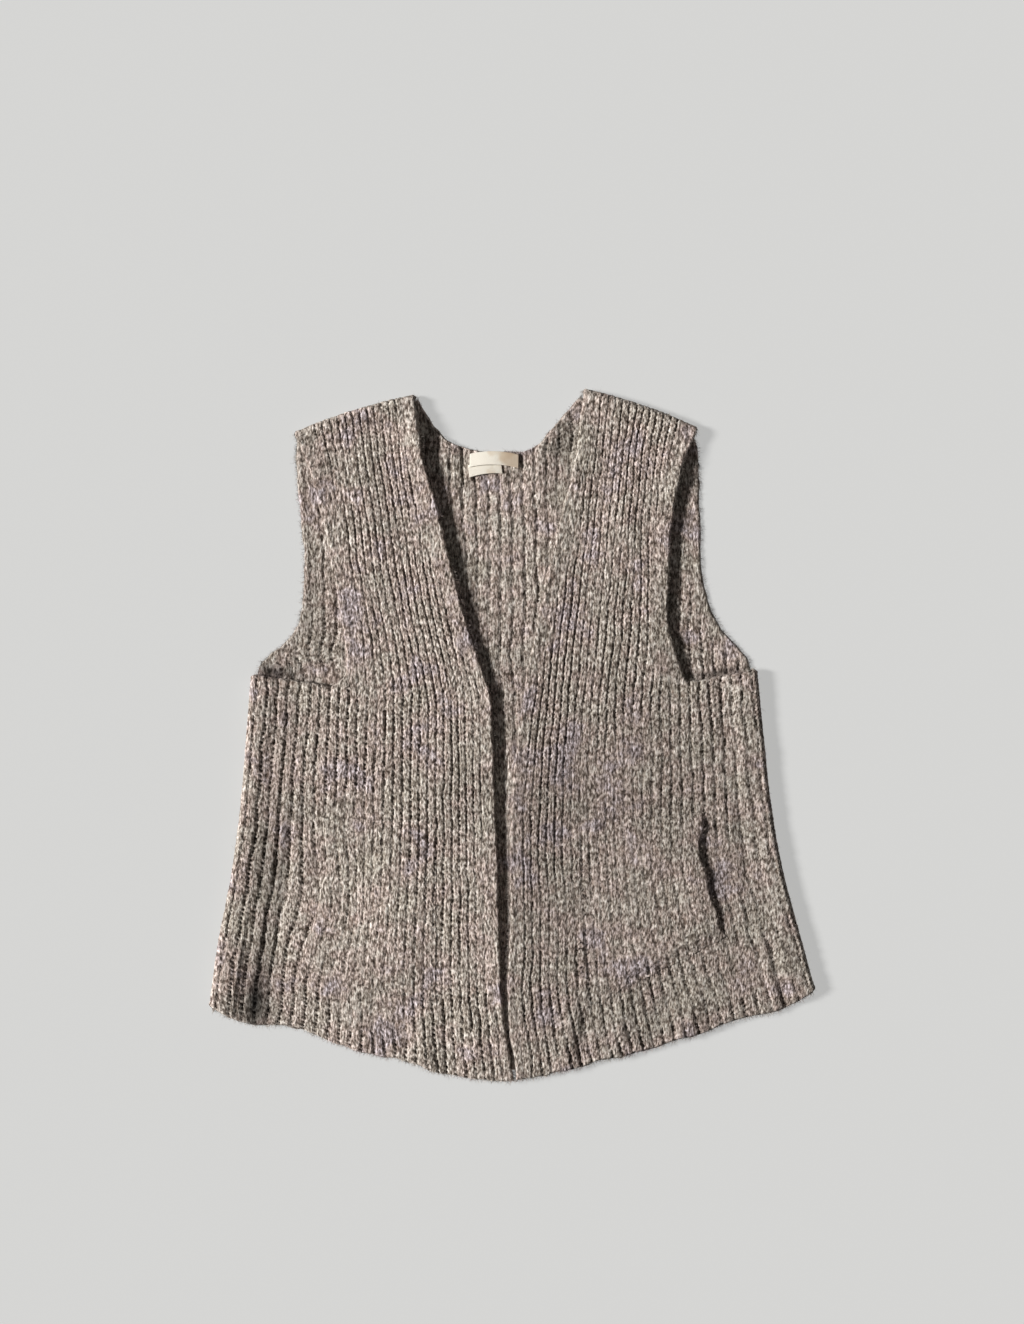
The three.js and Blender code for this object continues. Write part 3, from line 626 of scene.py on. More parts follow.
def ragged(inner, distance, rib, row, shift):
    """Small moves of an edge in its own plane: a bump at each stitch or rib, and slow waves."""
    reach = clamp(1 - distance / 5, 0, 1)[..., None]
    dx = 0.9 * field(rib / 1.3, row / 3.1, shift + 8) + 0.5 * field(rib * 1.1, row * 0.9, shift + 9)
    dy = 1.0 * field(rib / 1.1, row / 3.3, shift + 10) + 0.6 * field(rib * 1.3, row * 0.8, shift + 11)
    return inner + np.stack([dx, dy, 0 * dx], -1) * reach


def edge_run(start, end, every):
    return list(range(start, end + 1)) if every else [start, end]


def shell(name, outer, inner, mask, row_breaks, column_breaks, knit, material):
    """A closed wall: a fine outer face, a coarse inner one in blocks, and a rim round every edge."""
    rows, columns = outer.shape[:2]
    index = np.arange(rows * columns).reshape(rows, columns)
    under = index + rows * columns
    r, c = np.nonzero(mask)
    quads = np.stack([index[r, c], index[r, c + 1], index[r + 1, c + 1], index[r + 1, c]], -1)
    faces = quads.tolist()
    inside = np.pad(mask, 1)

    def rim(a, b):
        faces.append([index[b], index[a], under[a], under[b]])

    for i, j in zip(r.tolist(), c.tolist()):
        if not inside[i, j + 1]:
            rim((i, j), (i, j + 1))
        if not inside[i + 2, j + 1]:
            rim((i + 1, j + 1), (i + 1, j))
        if not inside[i + 1, j]:
            rim((i + 1, j), (i, j))
        if not inside[i + 1, j + 2]:
            rim((i, j + 1), (i + 1, j + 1))

    for r0, r1 in zip(row_breaks[:-1], row_breaks[1:]):
        for c0, c1 in zip(column_breaks[:-1], column_breaks[1:]):
            if not mask[r0, c0]:
                continue
            low = [(r0, j) for j in edge_run(c0, c1, not inside[r0, c0 + 1])]
            right = [(i, c1) for i in edge_run(r0, r1, not inside[r0 + 1, c1 + 1])]
            high = [(r1, j) for j in edge_run(c0, c1, not inside[r1 + 1, c0 + 1])][::-1]
            left = [(i, c0) for i in edge_run(r0, r1, not inside[r0 + 1, c0])][::-1]
            ring = low[:-1] + right[:-1] + high[:-1] + left[:-1]
            faces.append([under[p] for p in ring[::-1]])

    points = np.concatenate([outer.reshape(-1, 3), inner.reshape(-1, 3)])
    inner_knit = knit.copy()
    inner_knit[..., 2] = INSIDE
    data = np.concatenate([knit.reshape(-1, 4), inner_knit.reshape(-1, 4)])
    return cloth_object(name, points, faces, data, material)


def cloth_object(name, points, faces, data, material):
    """A mesh from points in mm, without unused points, with its knit coordinates."""
    flat = np.fromiter((k for face in faces for k in face), int)
    used, renumbered = np.unique(flat, return_inverse=True)
    sizes = np.array([len(face) for face in faces])
    starts = np.concatenate([[0], np.cumsum(sizes)[:-1]])
    mesh = bpy.data.meshes.new(name)
    mesh.vertices.add(len(used))
    mesh.vertices.foreach_set("co", ((points[used] + ORIGIN) * MM).astype(np.float32).ravel())
    mesh.loops.add(len(flat))
    mesh.loops.foreach_set("vertex_index", renumbered.astype(np.int32).ravel())
    mesh.polygons.add(len(faces))
    mesh.polygons.foreach_set("loop_start", starts.astype(np.int32))
    mesh.polygons.foreach_set("loop_total", sizes.astype(np.int32))
    mesh.polygons.foreach_set("use_smooth", np.ones(len(faces), bool))
    mesh.update(calc_edges=True)
    mesh.validate()
    layer = mesh.attributes.new("knit", "FLOAT_VECTOR", "POINT")
    layer.data.foreach_set("vector", data[used, :3].astype(np.float32).ravel())
    layer = mesh.attributes.new("tone", "FLOAT", "POINT")
    layer.data.foreach_set("value", data[used, 3].astype(np.float32).ravel())
    mesh.materials.append(material)
    face_outwards(mesh)
    return add_object(name, mesh)


def add_object(name, data):
    thing = bpy.data.objects.new(name, data)
    bpy.context.scene.collection.objects.link(thing)
    return thing


def face_outwards(mesh):
    mesh.calc_loop_triangles()
    points = np.zeros(len(mesh.vertices) * 3, np.float32)
    corners = np.zeros(len(mesh.loop_triangles) * 3, np.int32)
    mesh.vertices.foreach_get("co", points)
    mesh.loop_triangles.foreach_get("vertices", corners)
    a, b, c = points.reshape(-1, 3)[corners.reshape(-1, 3)].astype(float).transpose(1, 0, 2)
    if (a * np.cross(b, c)).sum() < 0:
        mesh.flip_normals()


def breaks(ends, steps):
    """Borders of the inner face's blocks: the ends, and marks a step apart between each two of them."""
    marks = []
    for start, end, step in zip(ends, ends[1:], steps):
        run = list(range(start, end, step))
        if end - run[-1] < step // 2 and len(run) > 1:
            run.pop()
        marks += run
    return marks + [ends[-1]]


def grid_normals(points):
    down = np.gradient(points, axis=0)
    across = np.gradient(points, axis=1)
    normal = np.cross(across, down)
    return normal / np.maximum(np.linalg.norm(normal, axis=-1, keepdims=True), 1e-9)


def surface_hairs(random, outer, mask, count):
    """Roots on the outer face, and directions that lean away from it."""
    rows, columns = np.nonzero(mask)
    pick = random.integers(0, len(rows), count)
    i, j = rows[pick], columns[pick]
    s, t = random.random((2, count, 1))
    roots = lerp(lerp(outer[i, j], outer[i, j + 1], t), lerp(outer[i + 1, j], outer[i + 1, j + 1], t), s)
    loose = random.normal(0, 1, (count, 3))
    return roots, grid_normals(outer)[i, j] * random.uniform(0.15, 0.9, (count, 1)) + loose * 0.6


def edge_hairs(random, outer, inner, mask, count):
    """Roots on the rim of the cloth, and directions that lead out of it."""
    around = cells_around(mask)
    i, j = np.nonzero((around > 0) & (around < 4))
    pick = random.integers(0, len(i), count)
    i, j = i[pick], j[pick]
    roots = lerp(outer[i, j], inner[i, j], random.random((count, 1)) * 0.8)
    outward = roots - outer[clamp(i, 3, outer.shape[0] - 4), clamp(j, 3, outer.shape[1] - 4)]
    outward[:, 2] *= 0.2
    outward /= np.maximum(np.linalg.norm(outward, axis=1, keepdims=True), 1e-6)
    return roots, outward + random.normal(0, 0.55, (count, 3))


def cloth_hairs(name, outer, inner, mask, counts, seed, material):
    """Fine loose fibres: some all over the outer face, more along the edges, each a thin bent spike."""
    random = np.random.default_rng(seed)
    on_face = surface_hairs(random, outer, mask, counts[0])
    on_edge = edge_hairs(random, outer, inner, mask, counts[1])
    roots, aims = (np.concatenate(pair) for pair in zip(on_face, on_edge))
    count = len(roots)
    aims /= np.linalg.norm(aims, axis=1, keepdims=True)
    length = np.minimum(random.gamma(3.0, 0.75, (count, 1)) + 0.8, LONGEST_HAIR)
    curl = random.normal(0, 0.5, (count, 3))
    curl -= (curl * aims).sum(1, keepdims=True) * aims
    side = np.cross(aims, random.normal(0, 1, (count, 3)))
    side /= np.linalg.norm(side, axis=1, keepdims=True)
    other = np.cross(aims, side)
    radius = random.uniform(*HAIR_RADIUS, (count, 1))
    rings = []
    for along, thick in ((-0.1, 1.0), (0.5, 0.8)):
        centre = roots + (aims * along + curl * along * along * 0.8) * length
        for angle in np.radians((0, 120, 240)):
            rings.append(centre + (side * np.cos(angle) + other * np.sin(angle)) * radius * thick)
    rings.append(roots + (aims + curl * 0.8) * length)
    points = np.stack(rings, 1).reshape(-1, 3)
    points[:, 2] = np.maximum(points[:, 2], 0.2)
    pattern = [[2, 1, 0], [0, 1, 4, 3], [1, 2, 5, 4], [2, 0, 3, 5], [3, 4, 6], [4, 5, 6], [5, 3, 6]]
    faces = [[k * 7 + corner for corner in face] for k in range(count) for face in pattern]
    return cloth_object(name, points, faces, np.ones((len(points), 4)), material)


def front_grid(front):
    """Ribs, rows and mask of a front's grid, and the row and columns where its parts meet."""
    columns = FRONT_RIBS * COLUMNS_PER_RIB
    arm_column = int(round((ARMHOLE_RIB + front["corner"]["ribs"]) * COLUMNS_PER_RIB))
    body_rows = int(round(BODY_END * BODY_STITCHES * ROWS_PER_STITCH))
    yoke_rows = int(round((YOKE_END - BODY_END) * YOKE_STITCHES * ROWS_PER_STITCH))
    round_side = FRONT_RIBS + FOLD_SPAN * np.arange(1, FOLD_COLUMNS + 1) / FOLD_COLUMNS
    round_shoulder = YOKE_END + FOLD_SPAN * np.arange(1, FOLD_ROWS + 1) / FOLD_ROWS
    u_body = np.concatenate([np.linspace(0, FRONT_RIBS, columns + 1), round_side])
    v_body = np.linspace(0, BODY_END, body_rows + 1)
    v_yoke = np.linspace(BODY_END, YOKE_END, yoke_rows + 1)[1:]
    v = np.concatenate([v_body, v_yoke, round_shoulder])[:, None]
    capped = clamp(v, BODY_END, YOKE_END)
    first = column(front["yoke"]["first"], capped - BODY_END)
    last = armhole_rib(front, capped)
    share = np.minimum(np.arange(len(u_body)), arm_column) / arm_column
    u = np.where(v <= BODY_END, u_body, lerp(first, last, share))
    mask = np.ones((len(v) - 1, len(u_body) - 1), bool)
    mask[body_rows:, arm_column:] = False
    return u, v + 0 * u, mask, (body_rows, arm_column, columns)


def front_panel(name, front, material):
    """One front: body and yoke on one L-shaped grid whose columns follow the edges."""
    u, v, mask, (body_rows, arm_column, columns) = front_grid(front)
    inner, normal, ribs, fade = front_frame(front, u, v)
    row = stitch_rows(v)
    depth = front_depth(front, u, v, ribs)
    distance = edge_distance(inner, mask)
    rounding = edge_rounding(distance)
    inner = ragged(inner, distance, u, row, front["shift"])
    inner[..., 1] += HEM_CORNER * corner_shape(u, v)
    thickness = np.maximum(front_thickness(front, u, v, depth, fade) * rounding, THINNEST)
    outer = inner + normal * thickness[..., None]
    row_breaks = breaks((0, body_rows, mask.shape[0]), (12, 12))
    column_breaks = breaks((0, arm_column, columns, mask.shape[1]), (16, 16, 3))
    # Knit data for the shader: the relief's depth, lowered towards rounded edges, becomes painted shade there
    # and in the furrows; tone carries the painted shading of the tables
    data = np.stack([u, row, depth * lerp(0.6, 1, rounding), tone(front, inner)], -1)
    panel = shell(name, outer, inner, mask, row_breaks, column_breaks, data, material)
    return panel, outer, inner, mask


def corner_shape(u, v):
    """Rounding of the hem's outer corner: a dip beside the fold, a rise round it."""
    side = (u - FRONT_RIBS) / FOLD_SPAN
    return (ease(side + 0.6) - 0.8 * np.exp(-(((u - 24.6) / 1.8) ** 2))) * ease(1 - v / 0.16)


def tone(panel, points):
    """How light the cloth is drawn: the panel's tone times painted shade down in troughs between creases, in
    corners and beside raised edges, and lighter on the pockets, partly from their brushed yarn and partly
    painted light.
    """
    return panel["tone"] * (1 - swell_height(panel["painted_shading"], points[..., 0], points[..., 1]))


def inside_fold(front, v):
    """A point of the back's side, inside the fold of a front."""
    side_x, side_y = curves(front["body"], v, "side_x", "side_y")
    along = body_plan(front, FRONT_RIBS, v)[2]
    return side_x - along[0] * BACK_INSET, side_y - along[1] * BACK_INSET


def back_rows():
    """The back's rows: under the fronts' folds up to the underarm, then from its own table."""
    rows = {key: list(values) for key, values in BACK_YOKE.items()}
    starts = [BACK_HEM_SHORT] + list(range(1, BODY_END + 1))
    count = len(starts)
    for side, front in (("left", RIGHT_FRONT), ("right", LEFT_FRONT)):
        points = [inside_fold(front, v) for v in starts]
        rows[side + "_x"] = [x for x, _ in points] + rows[side + "_x"]
        rows[side + "_y"] = [y for _, y in points] + rows[side + "_y"]
    rows["left_rib"] = [0] * count + rows["left_rib"]
    rows["right_rib"] = [BACK_RIBS] * count + rows["right_rib"]
    rows["drop"] = BACK_DROP + rows["drop"]
    rows["bend"] = [BACK_BODY_BEND] * count + rows["bend"]
    return rows


def back_plan(rows, u, v):
    left_rib, right_rib, drop, bend = curves(rows, v, "left_rib", "right_rib", "drop", "bend")
    left_x, right_x, left_y, right_y = curves(rows, v, "left_x", "right_x", "left_y", "right_y")
    t = (u - left_rib) / (right_rib - left_rib)
    sag = drop * (1 - np.abs(2 * t - 1) ** bend)
    return lerp(left_x, right_x, t), lerp(left_y, right_y, t) - sag


def with_foot(table, rows, rib, neck_row):
    """A shoulder's table with the neck row put under it."""
    arm_rib = table["arm_rib"][0]
    neck_x, neck_y = back_plan(rows, rib, neck_row)
    arm_x, arm_y = back_plan(rows, arm_rib, neck_row)
    foot = dict(neck_x=neck_x, neck_y=neck_y, neck_rib=rib, arm_x=arm_x, arm_y=arm_y, arm_rib=arm_rib)
    return {key: [foot[key]] + list(values) for key, values in table.items()}


def shoulder_plan(table, u, rise_row, count):
    arm_rib, arm_x, arm_y = curves(table, rise_row, "arm_rib", "arm_x", "arm_y")
    neck_rib, neck_x, neck_y = curves(table, rise_row, "neck_rib", "neck_x", "neck_y")
    t = (u - arm_rib) / (neck_rib - arm_rib)
    arch = lerp(0.9, 0.12, clamp(rise_row / count, 0, 1))
    return lerp(arm_x, neck_x, t), lerp(arm_y, neck_y, t) + (neck_y - arm_y) * arch * t * (1 - t)


def back_grid(rows):
    """Ribs, rows, plan and mask of the back's grid, fine where it shows, and the bounds of its neckline."""
    neck_row = len(rows["left_x"]) - 1
    steps = len(BACK_RIGHT_SHOULDER["neck_x"])
    hidden = np.linspace(0, BACK_SHOWS, BACK_HIDDEN_ROWS)
    fine = np.linspace(BACK_SHOWS, BODY_END, BACK_LOW_ROWS)[1:]
    yoke = np.linspace(BODY_END, neck_row, BACK_YOKE_ROWS)[1:]
    shoulder = neck_row + np.linspace(0, steps, BACK_SHOULDER_ROWS)[1:]
    v = np.concatenate([hidden, fine, yoke, shoulder])[:, None]
    low = np.minimum(v, neck_row)
    first = int(NECK_RIGHT_RIB * COLUMNS_PER_RIB)
    second = first + BACK_NECK_COLUMNS
    after = int((BACK_RIBS - NECK_LEFT_RIB) * COLUMNS_PER_RIB)
    left_rib, right_rib = curves(rows, low, "left_rib", "right_rib")
    right_table = with_foot(BACK_RIGHT_SHOULDER, rows, NECK_RIGHT_RIB, neck_row)
    left_table = with_foot(BACK_LEFT_SHOULDER, rows, NECK_LEFT_RIB, neck_row)
    over = clamp(v - neck_row, 0, steps)
    neck_a = column(right_table["neck_rib"], over)
    neck_b = column(left_table["neck_rib"], over)
    a = lerp(left_rib, neck_a, np.linspace(0, 1, first + 1))
    b = lerp(neck_a, neck_b, np.linspace(0, 1, BACK_NECK_COLUMNS + 1)[1:])
    c = lerp(neck_b, right_rib, np.linspace(0, 1, after + 1)[1:])
    u = np.concatenate([a, b, c], 1)
    v = v + 0 * u
    x, y = back_plan(rows, u, np.minimum(v, neck_row))
    rise = np.maximum(v - neck_row, 0)
    for table, part in ((right_table, slice(0, first + 1)), (left_table, slice(second, None))):
        sx, sy = shoulder_plan(table, u[:, part], rise[:, part], steps)
        above = rise[:, part] > 0
        x[:, part] = np.where(above, sx, x[:, part])
        y[:, part] = np.where(above, sy, y[:, part])
    top = len(hidden) + len(fine) + len(yoke) - 1
    mask = np.ones((len(v) - 1, u.shape[1] - 1), bool)
    mask[top:, first:second] = False
    return u, v, x, y, mask, (top, first, second)


def back_panel(name, material):
    """The back on one grid, with the neckline cut out of its top."""
    rows = back_rows()
    u, v, x, y, mask, (top, first, second) = back_grid(rows)
    shift = BACK["shift"]
    inner = np.stack([x, y, np.maximum(swell_height(BACK_SWELLS, x, y) - 0.15, 0)], -1)
    row = (y + BACK_HEM) / STITCH
    low = np.minimum(v, len(rows["left_x"]) - 1)
    left_x, right_x = curves(rows, low, "left_x", "right_x")
    from_side = np.minimum(x - left_x, right_x - x)
    ribs = lerp(SIDE_RIBS, 1, strip(from_side, lerp(2, BACK_SELVEDGE, ease((v - BODY_END) * 1.5))))
    lost = clamp(0.1 + 0.5 * field(u / 3.5, row / 9, shift + 5), 0, 0.45)
    depth = lerp(plain_depth(u, row, shift), knit_depth(u, row, shift), ribs * (1 - lost))
    distance = edge_distance(inner, mask)
    rounding = edge_rounding(distance)
    inner = ragged(inner, distance, u, row, shift)
    crest = lerp(CREST, CREST - 0.3, ease((v - BODY_END) * 2))
    full = FURROW + (crest - FURROW) * depth + lumps(u, row, shift, 0.2)
    thickness = np.maximum(full * rounding, THINNEST)
    thickness = np.minimum(thickness, BACK_THICKEST)
    outer = inner + np.array([0, 0, 1.0]) * thickness[..., None]
    row_breaks = breaks((0, top, mask.shape[0]), (14, 8))
    column_breaks = breaks((0, first, second, mask.shape[1]), (16, 14, 16))
    # The same knit data: a milder painted shade from the relief's depth, lowered towards rounded edges, and
    # the back's painted shading in tone
    data = np.stack([u, row, lerp(0.3, 1, depth) * lerp(0.6, 1, rounding), tone(BACK, inner)], -1)
    panel = shell(name, outer, inner, mask, row_breaks, column_breaks, data, material)
    visible = mask.copy()
    visible[:BACK_HIDDEN_ROWS, BACK_MARGIN:-BACK_MARGIN] = False
    return panel, outer, inner, visible


def unit_grid(columns, rows):
    return np.meshgrid(np.linspace(0, 1, columns + 1), np.linspace(0, 1, rows + 1))


def pocket_panel(name, front, pocket, material):
    """A pocket that lies on the front: sewn edges sink into its ribs, the open side stands off."""
    a, b = unit_grid(POCKET_COLUMNS, POCKET_ROWS)
    bend = pocket["bend"] * 4 * b * (1 - b) + 0.24 * field(b * 9, 0, POCKET_SHIFT + 13)
    foot, foot_row = (lerp(*ends, a) for ends in zip(pocket["inner_foot"], pocket["outer_foot"]))
    top, top_row = (lerp(*ends, a) for ends in zip(pocket["inner_top"], pocket["outer_top"]))
    u = lerp(foot, top, b) - bend * a**3
    v = lerp(foot_row, top_row, b)
    inner, normal, ribs, fade = front_frame(front, u, v)
    below = front_thickness(front, u, v, front_depth(front, u, v, ribs), fade)
    seam = np.minimum(np.minimum(a * POCKET_WIDTH, b * POCKET_HEIGHT), (1 - b) * POCKET_HEIGHT)
    free = ease(seam / POCKET_EASE) * ease(a * POCKET_WIDTH / POCKET_INNER_EASE)
    row = stitch_rows(v)
    slant = swell_height(front["slants"], u, v)
    plain = plain_depth(u, row, POCKET_SHIFT)
    depth = lerp(plain, knit_depth(u + slant, row, front["shift"]), 0.6)
    depth = lerp(depth, plain, 0.8 * (1 - strip((1 - a) * POCKET_WIDTH, 8)))
    gape = np.sin(np.pi * clamp((b - GAPE_START) / (1 - GAPE_START), 0, 1)) ** 0.7
    lip = pocket["lip"] * ease((a - 0.7) / 0.3) * gape * (1 + 0.5 * field(b * 9, 0, POCKET_SHIFT + 11))
    base = lerp(below + 0.15, POCKET_BASE, free) + lip
    mask = np.ones((POCKET_ROWS, POCKET_COLUMNS), bool)
    distance = edge_distance(inner, mask)
    rounding = edge_rounding(distance)
    wall = lerp(POCKET_SEAM, POCKET_FURROW + (POCKET_CREST - POCKET_FURROW) * depth, free)
    wall = np.maximum(wall * lerp(rounding, 1, 0.3), 0.35)
    under = inner + normal * base[..., None]
    under = ragged(under, distance, u, row, front["shift"])
    outer = under + normal * wall[..., None]
    # Painted shade follows the front's relief at the seams and the pocket's own relief where it lies free
    shade = lerp(front_depth(front, u, v, ribs), depth, free)
    data = np.stack([u, row, shade, tone(front, inner)], -1)
    row_breaks = breaks((0, POCKET_ROWS), (10,))
    column_breaks = breaks((0, POCKET_COLUMNS), (8,))
    panel = shell(name, outer, under, mask, row_breaks, column_breaks, data, material)
    return panel, outer, under, mask


def label_panel(name, label, material):
    """A plain tape that arches a little along its length."""
    a, b = unit_grid(LABEL_COLUMNS, LABEL_ROWS)
    x = (a - 0.5) * label["width"]
    y = (b - 0.5) * label["height"] + label["arch"] * (1 - (2 * a - 1) ** 2)
    turn = np.radians(label["turn"])
    px = label["x"] + x * np.cos(turn) - y * np.sin(turn)
    py = label["y"] + x * np.sin(turn) + y * np.cos(turn)
    base = LABEL_BASE + label["over"] + label["bulge"] * np.sin(np.pi * a)
    under = np.stack([px, py, base + swell_height(BACK_SWELLS, px, py)], -1)
    outer = under + np.array([0, 0, LABEL_THICKNESS])
    mask = np.ones((LABEL_ROWS, LABEL_COLUMNS), bool)
    data = np.stack([a * label["width"], b * label["height"], 0 * a + 1, 0 * a + 1], -1)
    row_breaks = breaks((0, LABEL_ROWS), (5,))
    column_breaks = breaks((0, LABEL_COLUMNS), (10,))
    return shell(name, outer, under, mask, row_breaks, column_breaks, data, material)


class Nodes:
    """Short ways to add and link shader nodes."""

    def __init__(self, name):
        self.material = bpy.data.materials.new(name)
        self.material.use_nodes = True
        self.tree = self.material.node_tree
        self.shader = self.tree.nodes["Principled BSDF"]

    def add(self, kind, inputs=None, **settings):
        node = self.tree.nodes.new(kind)
        for key, value in settings.items():
            setattr(node, key, value)
        for key, value in (inputs or {}).items():
            self.put(node.inputs[key], value)
        return node

    def link(self, source, target):
        self.tree.links.new(source, target)

    def put(self, socket, value):
        if hasattr(value, "is_linked"):
            self.link(value, socket)
        else:
            socket.default_value = value

    def math(self, operation, a, b=0.0, c=0.0):
        node = self.add("ShaderNodeMath", operation=operation)
        for socket, value in zip(node.inputs, (a, b, c)):
            self.put(socket, value)
        return node.outputs[0]

    def noise(self, vector, scale, detail=2.0, roughness=0.5):
        inputs = dict(Vector=vector, Scale=scale, Detail=detail, Roughness=roughness)
        return self.add("ShaderNodeTexNoise", inputs).outputs["Fac"]

    def stretch(self, vector, scale):
        return self.add("ShaderNodeMapping", dict(Vector=vector, Scale=scale)).outputs[0]

    def ramp(self, factor, stops):
        node = self.add("ShaderNodeValToRGB")
        self.put(node.inputs["Fac"], factor)
        elements = node.color_ramp.elements
        while len(elements) < len(stops):
            elements.new(0.5)
        for element, (position, colour) in zip(elements, stops):
            element.position = position
            element.color = (*colour, 1)
        return node.outputs["Color"]

    def mix(self, factor, a, b, blend="MIX"):
        node = self.add("ShaderNodeMix", data_type="RGBA", blend_type=blend)
        self.put(node.inputs["Factor"], factor)
        self.put(node.inputs["A"], a if hasattr(a, "is_linked") else (*a, 1))
        self.put(node.inputs["B"], b if hasattr(b, "is_linked") else (*b, 1))
        return node.outputs["Result"]

    def bump(self, height, strength, distance):
        inputs = dict(Height=height, Strength=strength, Distance=distance)
        return self.add("ShaderNodeBump", inputs).outputs[0]

    def surface(self, **values):
        """Sets the sockets of the shader, with _ for a space in a name, and gives the material."""
        for name, value in values.items():
            self.put(self.shader.inputs[name.replace("_", " ")], value)
        return self.material


def grey(value):
    return (value, value, value)


def knit_coordinates(n):
    knit = n.add("ShaderNodeAttribute", attribute_name="knit")
    parts = n.add("ShaderNodeSeparateXYZ")
    n.link(knit.outputs["Vector"], parts.inputs[0])
    return parts.outputs["X"], parts.outputs["Y"], parts.outputs["Z"]


def wool_material(name, darkest, dark):
    """Marled wool: light and dark flecks, pinkish and lavender patches, painted shade in the furrows and from
    the tone attribute, fine fibres.
    """
    n = Nodes(name)
    place = n.add("ShaderNodeTexCoord").outputs["Object"]
    rib, row, depth = knit_coordinates(n)
    flecks = n.noise(n.stretch(place, (620, 240, 420)), 1.0, 1.6, 0.6)
    base = n.ramp(
        flecks,
        [
            (0.33, (0.085, 0.064, 0.050)),
            (0.43, (0.235, 0.196, 0.167)),
            (0.51, (0.43, 0.370, 0.325)),
            (0.60, (0.68, 0.61, 0.55)),
            (0.70, (0.94, 0.88, 0.82)),
        ],
    )
    patches = n.noise(place, 30, 3, 0.6)
    tint = n.ramp(
        patches,
        [
            (0.32, (0.96, 0.97, 0.92)),
            (0.45, (1.0, 0.99, 0.97)),
            (0.56, (1.05, 0.96, 0.95)),
            (0.66, (0.99, 0.95, 1.08)),
        ],
    )
    colour = n.mix(0.9, base, tint, "MULTIPLY")
    pink = n.ramp(n.noise(place, 95, 2, 0.6), [(0.58, grey(0)), (0.72, grey(1))])
    colour = n.mix(n.math("MULTIPLY", pink, 0.22), colour, (0.50, 0.36, 0.29))
    # Painted shade: the relief's depth darkens furrows, their flanks and rounded edges, and lightens the
    # crests a little
    shade = n.ramp(depth, [(0.0, darkest), (0.24, dark), (0.48, grey(0.84)), (0.95, grey(1.08))])
    # Inner faces have no modelled ribs: a stitch pattern paints furrow shade on them instead
    side = n.math("ABSOLUTE", n.math("SUBTRACT", n.math("FRACT", rib), 0.5))
    stitch = n.math("SINE", n.math("MULTIPLY", n.math("MULTIPLY_ADD", side, 1.4, row), 6.283))
    relief = n.math("MULTIPLY_ADD", stitch, 0.12, n.math("MULTIPLY_ADD", side, -1.6, 1.0))
    inside = n.math("GREATER_THAN", depth, 1.5)
    under = n.ramp(relief, [(0.15, grey(0.25)), (0.5, grey(0.85)), (1.0, grey(1.0))])
    colour = n.mix(1.0, colour, n.mix(inside, shade, under), "MULTIPLY")
    # Painted shading from the tables, with the panel's tone: darker in troughs, corners and beside raised
    # edges, lighter on the pockets
    light = n.add("ShaderNodeAttribute", attribute_name="tone").outputs["Fac"]
    colour = n.mix(1.0, colour, light, "MULTIPLY")
    fibres = n.noise(n.stretch(place, (1300, 600, 900)), 1.0, 3, 0.7)
    fibres = n.math("MULTIPLY_ADD", flecks, 1.4, fibres)
    height = n.math("MULTIPLY_ADD", n.math("MULTIPLY", inside, relief), 2.0, fibres)
    return n.surface(
        Base_Color=colour,
        Roughness=0.92,
        Specular_IOR_Level=0.1,
        Sheen_Weight=0.12,
        Sheen_Roughness=0.5,
        Normal=n.bump(height, 0.9, 0.001),
    )


def label_material():
    """Cream cotton tape, woven fine, yellowed at one end."""
    n = Nodes("cotton_label")
    along, across, _ = knit_coordinates(n)
    place = n.add("ShaderNodeTexCoord").outputs["Object"]
    fade = n.noise(place, 55, 2)
    base = n.ramp(fade, [(0.34, (0.80, 0.66, 0.50)), (0.5, (1.0, 0.94, 0.82))])
    yellowed = n.ramp(n.math("MULTIPLY", along, 1 / NECK_LABEL["width"]), [(0.6, grey(0)), (0.85, grey(0.6))])
    base = n.mix(yellowed, base, (0.62, 0.42, 0.25))
    warp = n.math("SINE", n.math("MULTIPLY", along, 9.0))
    weft = n.math("SINE", n.math("MULTIPLY", across, 9.0))
    weave = n.math("MULTIPLY", warp, weft)
    colour = n.mix(n.math("MULTIPLY_ADD", weave, 0.12, 0.12), base, (0.45, 0.36, 0.26))
    return n.surface(Base_Color=colour, Roughness=0.8, Normal=n.bump(weave, 0.4, 0.0002))


def floor_material():
    return Nodes("floor").surface(
        Base_Color=FLOOR_COLOUR,
        Emission_Color=(1.0, 1.0, 0.985, 1),
        Emission_Strength=FLOOR_GLOW,
        Roughness=0.9,
        Specular_IOR_Level=0.1,
    )


def add_floor():
    mesh = bpy.data.meshes.new("floor")
    signs = [(-1, -1), (1, -1), (1, 1), (-1, 1)]
    mesh.from_pydata([(FLOOR_HALF * x, FLOOR_HALF * y, FLOOR_LEVEL) for x, y in signs], [], [(0, 1, 2, 3)])
    mesh.materials.append(floor_material())
    floor = add_object("floor", mesh)


def add_lights():
    """A broad soft key from the left and a weak pale room."""
    sun = bpy.data.lights.new("key", "SUN")
    sun.energy = KEY_STRENGTH
    sun.angle = np.radians(KEY_WIDTH)
    sun.color = KEY_COLOUR
    lamp = add_object("key", sun)
    lamp.rotation_mode = "QUATERNION"
    lamp.rotation_quaternion = Vector(KEY_DIRECTION).to_track_quat("-Z", "Y")
    world = bpy.data.worlds.new("room")
    world.use_nodes = True
    background = world.node_tree.nodes["Background"]
    background.inputs["Color"].default_value = ROOM_COLOUR
    background.inputs["Strength"].default_value = ROOM_STRENGTH
    bpy.context.scene.world = world
    bpy.context.scene.view_settings.view_transform = "Standard"


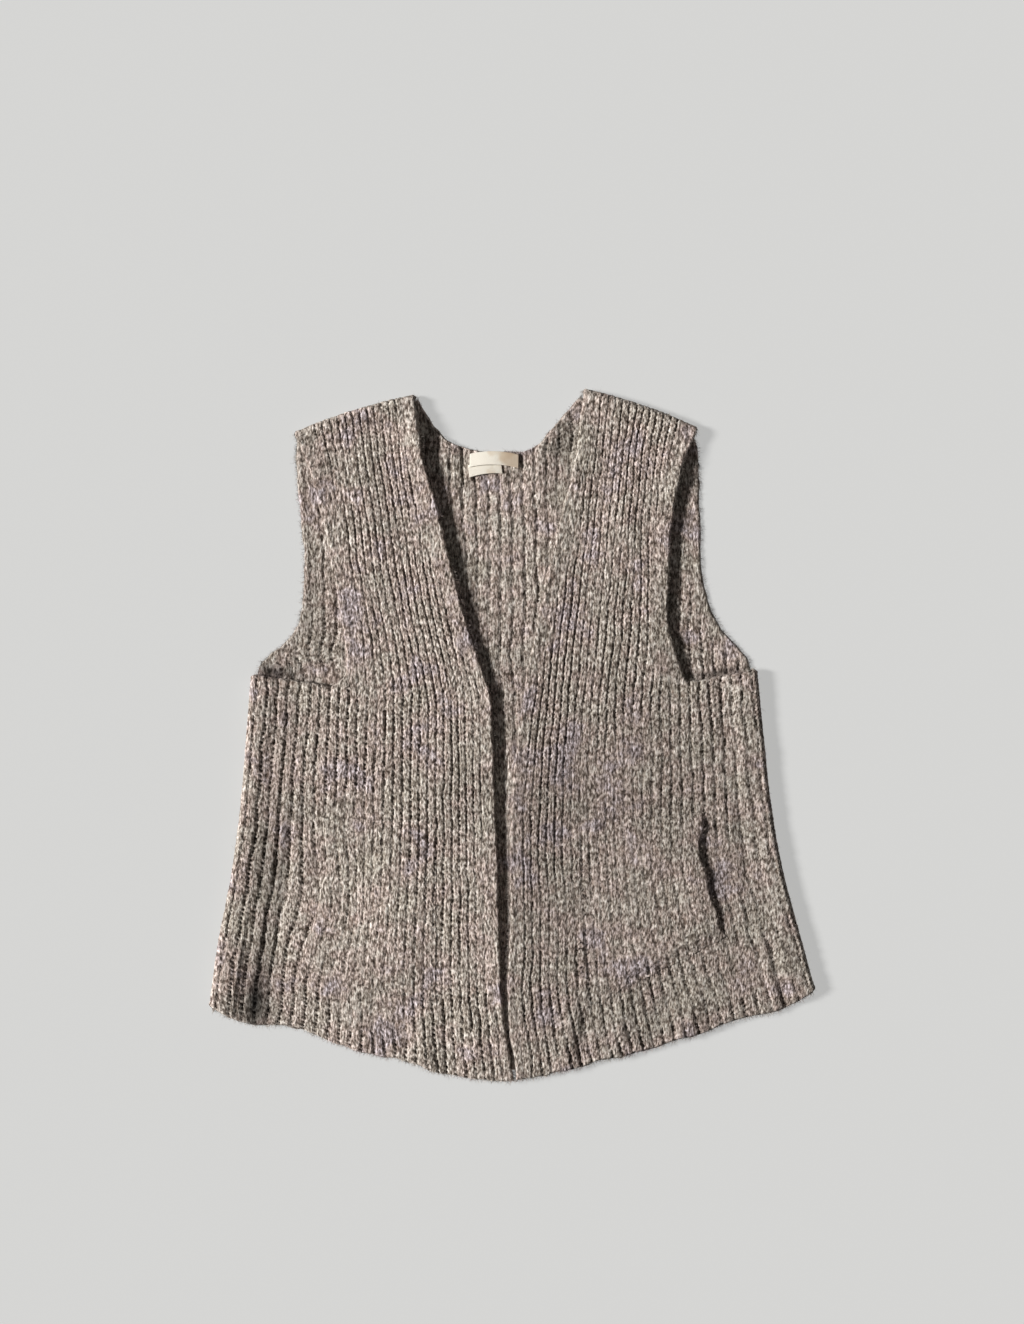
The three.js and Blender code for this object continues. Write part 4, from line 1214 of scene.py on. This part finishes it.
def add_camera():
    """Straight above the vest, framed as in the photograph."""
    camera = bpy.data.cameras.new("camera")
    camera.lens = LENS
    camera.sensor_width = SENSOR
    camera.sensor_fit = "AUTO"
    height = LENS / SENSOR * PHOTO_HEIGHT * MM_PER_PIXEL
    x = (PHOTO_WIDTH / 2 - PHOTO_ORIGIN[0]) * MM_PER_PIXEL
    y = (PHOTO_ORIGIN[1] - PHOTO_HEIGHT / 2) * MM_PER_PIXEL
    eye = add_object("camera", camera)
    eye.location = Vector((x + ORIGIN[0], y + ORIGIN[1], height)) * MM
    bpy.context.scene.camera = eye


def cad_origin():
    """Where the tables' origin lies in the frame, from the hem of the back."""
    rows = back_rows()
    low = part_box("back")[0] / MM
    left, _ = back_plan(rows, 0, 0)
    _, foot = back_plan(rows, BACK_RIBS / 2, 0)
    return np.array([low[0] - left, low[1] - foot, 0.0])


ORIGIN = cad_origin()


def place(piece, slot, *nodes):
    if nodes:
        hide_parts(*nodes)
    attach(piece, "root")


def build():
    wool = wool_material("wool_knit", WOOL_FURROW_SHADE, WOOL_FLANK_SHADE)
    back_wool = wool_material("wool_back", BACK_WOOL_FURROW_SHADE, BACK_WOOL_FLANK_SHADE)
    cotton = label_material()
    back = back_panel("back_cloth", back_wool)
    right = front_panel("right_front_cloth", RIGHT_FRONT, wool)
    left = front_panel("left_front_cloth", LEFT_FRONT, wool)
    right_pocket = pocket_panel("right_pocket_cloth", RIGHT_FRONT, RIGHT_POCKET, wool)
    left_pocket = pocket_panel("left_pocket_cloth", LEFT_FRONT, LEFT_POCKET, wool)
    neck_label = label_panel("neck_label_tape", NECK_LABEL, cotton)
    size_label = label_panel("size_label_tape", SIZE_LABEL, cotton)
    cloths = (
        ("back", back, BACK_HAIRS),
        ("right_front", right, FRONT_HAIRS),
        ("left_front", left, FRONT_HAIRS),
        ("right_pocket", right_pocket, POCKET_HAIRS),
        ("left_pocket", left_pocket, POCKET_HAIRS),
    )
    for node, panel, _ in cloths:
        place(panel[0], "wool_knit", node)
    place(neck_label, "cotton_label", "neck_label")
    place(size_label, "cotton_label", "size_label")
    for seed, (node, panel, counts) in enumerate(cloths, FIRST_SEED):
        place(cloth_hairs(node + "_fuzz", *panel[1:], counts, seed, wool), "wool_knit")


add_floor()
add_lights()
add_camera()
build()
